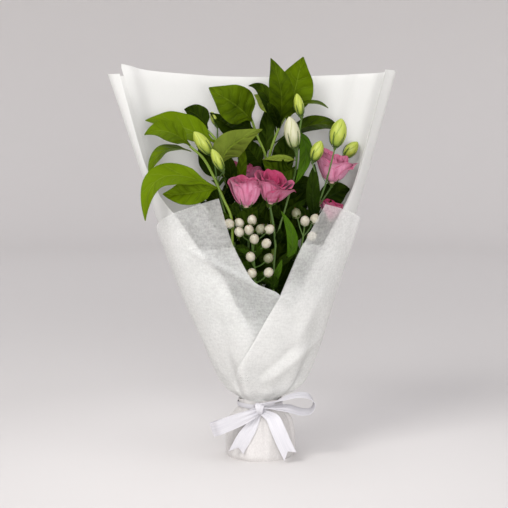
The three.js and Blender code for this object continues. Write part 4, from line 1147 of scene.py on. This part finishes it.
def petal(shape, stand, angle, radius, height, width, lap, fall, ruffle, tone, crumple):
    """A petal that stands up round the middle and rolls out at its frilled rim. One edge laps over the
    next petal, fall opens it wider, ruffle raises its frill and crumple deepens the fold up its middle."""
    t = np.linspace(0, 1, PETAL_ROWS)[:, None] ** 0.9
    s = np.linspace(-1, 1, PETAL_COLUMNS)[None, :]
    phase = petal_chance.uniform(0, 6.28, 5)
    roll = np.clip((t - 0.74) / 0.26, 0, 1)
    frill = np.sin(3.5 * s + phase[0]) + 0.5 * np.sin(8 * s + phase[1])
    slant = s - 0.45 * math.sin(phase[2]) - 0.5 * math.cos(phase[4]) * (t - 0.5)
    fold = np.exp(-((slant / 0.13) ** 2)) * np.sin(math.pi * np.minimum(1, 1.15 * t)) ** 1.5
    reach = radius * spread(t) + lap * s * np.minimum(1, 3 * t) + radius * fall * t**2.2
    reach = reach + ruffle * roll * frill * 0.8 + 2.2 * roll**2 - 1.6 * crumple * fold
    turn = angle + s * np.minimum(1.35, 0.5 * width * breadth(t) / np.maximum(reach, 2.5))
    rise = 1.5 + height * climb(t) * (1 - 0.35 * fall) - height * (0.05 * t**2 * s**2 + 0.13 * t**7 * s**4)
    rise = rise - 1.3 * roll**2 + 0.7 * ruffle * roll**2 * np.sin(5 * s + phase[3])
    place, matrix = stand
    grid = round_points(reach, turn, rise) @ matrix.T + place
    # The tone rises in the fold: painted shade in its crease
    shape.skin(grid, PETAL_THICKNESS, along=t, across=s, tone=tone + 0.45 * crumple * fold)


# Each ring of a bloom: how many petals, radius, height, width, lap, turn and depth of colour
PETAL_RINGS = ((5, 23, 38, 44, 2.2, 0.0, 0.1), (4, 17.5, 41, 36, 1.8, 0.5, 0.3),
               (3, 12, 41, 27, 1.5, 0.2, 0.5), (3, 7, 38, 17, 1.0, 1.1, 0.65))


def make_blooms():
    for name, bloom in BLOOMS.items():
        shape = Shape()
        stand = (bloom["seat"], turned_onto(bloom["axis"], bloom["turn"]) * bloom["size"])
        shape.turned(BLOOM_CORE, CORE_SIDES, bloom["seat"], bloom["axis"], under=1.0)
        for count, radius, height, width, lap, shift, depth in PETAL_RINGS:
            for k in range(count):
                angle = 2 * math.pi * k / count + shift
                low = math.cos(angle - math.radians(bloom["low_side"])) * bloom["droop"]
                tall = height * (petal_chance.uniform(0.96, 1.04) - 0.35 * low)
                fall = petal_chance.uniform(-0.04, 0.06) + max(0, low)
                ruffle = petal_chance.uniform(0.7, 1.4)
                tone = depth + bloom["depth"] + petal_chance.uniform(-0.12, 0.25)
                petal(shape, stand, angle, radius, tall, width, lap, fall, ruffle, tone, bloom["crumple"])
        shape.piece(name + "_petals", PETAL, "petal", name, sharp=80)


# Buds: closed petals wound round each other, which show as five slanted ridges

BUD_OUTLINE = through((0, 0.36), (0.05, 0.6), (0.2, 0.84), (0.44, 1), (0.7, 0.86), (0.9, 0.48), (1, 0.12))
BUD_ROWS = 26
BUD_SIDES = 50
RIDGES = 5
RIDGE_TWIST = 1.4


def make_buds():
    for name, bud in BUDS.items():
        height, radius = BUD_HEIGHT * bud["size"], BUD_RADIUS * bud["size"] * bud["slim"]
        t = np.linspace(0, 1, BUD_ROWS)[:, None]
        angles = once_round(BUD_SIDES)
        slant = (angles - RIDGE_TWIST * t) * RIDGES / (2 * math.pi)
        step = slant - np.floor(slant)
        seam = np.exp(-((np.minimum(step, 1 - step) / 0.09) ** 2))
        reach = radius * BUD_OUTLINE(t) * (1.03 - 0.1 * seam + 0.06 * step)
        loops = round_points(reach, angles, height * t) @ turned_onto(bud["axis"]).T + bud["seat"]
        shape = Shape()
        shape.rings(loops, across=angles / math.pi - 1, tone=np.append(seam, (0, 0)))
        finish, slot = (CREAM_BUD, "white_bud") if name == "bud_white" else (GREEN_BUD, "green_bud")
        shape.piece(name + "_petals", finish, slot, name)


# Hypericum: a green stem with a white berry at the end of each short branch

# Outlines by radius and height, the berry's in shares of its size and the tip's in millimetres
BERRY_OUTLINE = ((0, -1), (0.45, -0.93), (0.8, -0.62), (0.98, -0.1), (0.95, 0.3), (0.78, 0.68), (0.45, 0.95),
                 (0.16, 1.06), (0, 1.08))
BERRY_SIDES = 18
TIP_OUTLINE = ((0, 0), (0.9, 0.1), (0.5, 0.9), (0.2, 1.6), (0, 1.7))
TIP_SIDES = 8
STALK_RISE = 16
BERRY_SEPALS = 5


def berry_spray(node, knots, berries, leaves):
    """A stem, its berries by place, its leaves by base, tip and width, standing for one spray. A fourth
    value dims a berry that lies in the shade of the others."""
    green, blades, fruit, tips = Shape(), Shape(), Shape(), Shape()
    line = stem(green, knots, SOFT_STEM, 0.7)
    for x, y, z, *dim in berries:
        berry = at(x, y, z)
        fork = min(z - STALK_RISE, line[-1, 2] - 2)
        start = line[np.argmin(np.abs(line[:, 2] - fork))]
        bow = (start + berry) / 2 + at(0, 1.5, -3)
        axis = unit(berry - bow)
        stem(green, [start, bow, berry - axis * 5], PEDICEL * 0.8)
        outline = [(r * BERRY * 0.95, h * BERRY * 1.04) for r, h in BERRY_OUTLINE]
        fruit.turned(outline, BERRY_SIDES, berry, axis, tone=sum(dim))
        tips.turned(TIP_OUTLINE, TIP_SIDES, berry + axis * BERRY * 1.06, axis)
        foot = berry - axis * 5.8
        side = unit(np.cross(axis, at(0.2, 0.1, 1)))
        for k in range(BERRY_SEPALS):
            angle = 2 * math.pi * k / BERRY_SEPALS + leaf_chance.uniform(-0.2, 0.2)
            out = math.cos(angle) * side + math.sin(angle) * np.cross(axis, side)
            middle, tip = foot + out * 4.6 + axis * 0.4, foot + out * 7.6 + axis * 3.0
            slim_leaf(blades, foot, middle, tip, 4.2, axis, 0.1)
    for base, tip, width in leaves:
        base, tip = np.array(base, float), np.array(tip, float)
        slim_leaf(blades, base, (base + tip) / 2 + at(0, -2, 3), tip, width)
    green.piece(node + "_green", SOFT, "soft_stem", node)
    blades.piece(node + "_leaves", SLIM_LEAF, "soft_stem", node)
    fruit.piece(node + "_berries", CREAM_BERRY, "white_berry", node)
    tips.piece(node + "_tips", BROWN_TIP, "white_berry", node)


def make_berries():
    berry_spray("berry_spray_left", [
        *through_the_tie(276), (-1, -36, 215), (-6, -43, 250), (-9, -44, 280), (-12, -43, 308)], [
        (-41, -52, 326), (-28, -44, 326), (-28, -54, 315), (-11, -44, 330), (-15, -55, 318), (-8, -60, 306),
        (0, -46, 318, 0.8), (12, -48, 318), (8, -57, 300), (-13, -57, 282), (11, -55, 280, 0.9),
        (-11, -57, 260), (11, -57, 261)], [
        ((-9, -44, 278), (-34, -48, 296), 12), ((-7, -43, 262), (-32, -50, 268), 12),
        ((-6, -43, 256), (16, -44, 244), 12), ((-9, -44, 285), (10, -40, 300), 11),
        ((-8, -45, 278), (-30, -52, 292), 8), ((-6, -45, 280), (6, -52, 298), 8),
        ((-7, -45, 250), (-22, -54, 268), 7), ((-5, -45, 248), (12, -54, 262), 7)])
    berry_spray("berry_spray_right", [
        *through_the_tie(348), (42, -24, 225), (52, -36, 275), (58, -40, 308)], [
        (49, -30, 338, 1), (60, -46, 329), (69, -52, 309), (73, -38, 331)], [
        ((53, -37, 282), (38, -48, 300), 11), ((51, -35, 270), (72, -46, 286), 11)])


# Floor and light

FLOOR_RADIUS = 3.0
FLOOR_SIDES = 96
WALL_BEND = 1.0
WALL_HEIGHT = 4.0
UNDER_THE_LAMPS = (-0.3, -2.3, 0)
LAMP_SHADE = (0.3, 2.1)
SHADE_RING_INNER = (0.2, 0.6)
SHADE_RING_OUTER = (3.0, 0.9)
LAMPS_AIM = (0, 0, 0.3)


def make_stage():
    """A round pale floor that bends up into a wall all round, so that every view has it behind. It has a
    little painted shade in a ring round the bouquet, and much more painted shade under the lamps, where
    their light would glare."""
    bend = [(FLOOR_RADIUS + WALL_BEND * math.sin(a), WALL_BEND * (1 - math.cos(a)))
            for a in np.linspace(0, math.pi / 2, 12)]
    flat = [(r, 0) for r in (0.01, 0.5, 1.5)]
    outline = [*flat, *bend, (FLOOR_RADIUS + WALL_BEND, WALL_HEIGHT)]
    points = [(r * math.cos(a), r * math.sin(a), z) for r, z in outline for a in once_round(FLOOR_SIDES)]
    faces = []
    for j in range(len(outline) - 1):
        for i in range(FLOOR_SIDES):
            a, b = j * FLOOR_SIDES + i, j * FLOOR_SIDES + (i + 1) % FLOOR_SIDES
            faces.append((a, b, b + FLOOR_SIDES, a + FLOOR_SIDES))
    faces.append(tuple(range(FLOOR_SIDES - 1, -1, -1)))
    mesh = bpy.data.meshes.new("floor")
    mesh.from_pydata(points, [], faces)
    mesh.shade_smooth()
    finish = Finish("pale_floor", roughness=0.9, specular_ior_level=0.1)
    place = finish.node("TexCoord", output="Object")
    away = finish.node("VectorMath", {"operation": "DISTANCE"}, {0: place, 1: UNDER_THE_LAMPS}, "Value")
    off = finish.node("VectorMath", {"operation": "LENGTH"}, {0: place}, "Value")
    # Painted shade: a darker ring round the bouquet, and darker still under the lamps
    ring = finish.between(off, *SHADE_RING_INNER) * finish.between(off, *SHADE_RING_OUTER)
    pale = finish.blend(ring, tint(211, 208, 206), tint(200, 197, 195))
    finish.shade({"Base Color": finish.blend(finish.between(away, *LAMP_SHADE), tint(118, 116, 115), pale)})
    mesh.materials.append(finish.material)
    floor = bpy.data.objects.new("floor", mesh)
    bpy.context.scene.collection.objects.link(floor)


def soft_light(name, place, size, power, warmth=(1, 1, 1)):
    data = bpy.data.lights.new(name, "AREA")
    data.size, data.energy, data.color = size, power, warmth
    lamp = bpy.data.objects.new(name, data)
    lamp.location = place
    lamp.rotation_euler = (Vector(LAMPS_AIM) - Vector(place)).to_track_quat("-Z", "Y").to_euler()
    bpy.context.scene.collection.objects.link(lamp)


def make_light():
    world = bpy.data.worlds.new("soft_world")
    world.use_nodes = True
    world.node_tree.nodes["Background"].inputs["Color"].default_value = (0.95, 0.95, 1.0, 1)
    world.node_tree.nodes["Background"].inputs["Strength"].default_value = 1.1
    bpy.context.scene.world = world
    soft_light("key_light", (-1.3, -1.8, 2.0), 1.1, 45, (1.0, 0.99, 0.975))
    soft_light("front_light", (0.2, -2.6, 0.6), 1.1, 39)
    soft_light("fill_light", (1.9, -1.0, 1.1), 1.6, 7)
    soft_light("back_light", (-0.6, 2.2, 1.7), 1.8, 1.5)
    bpy.context.scene.view_settings.view_transform = "Standard"


make_wrap()
make_foot()
make_bow()
make_branches()
make_flower_stems()
make_blooms()
make_buds()
make_berries()
make_stage()
make_light()
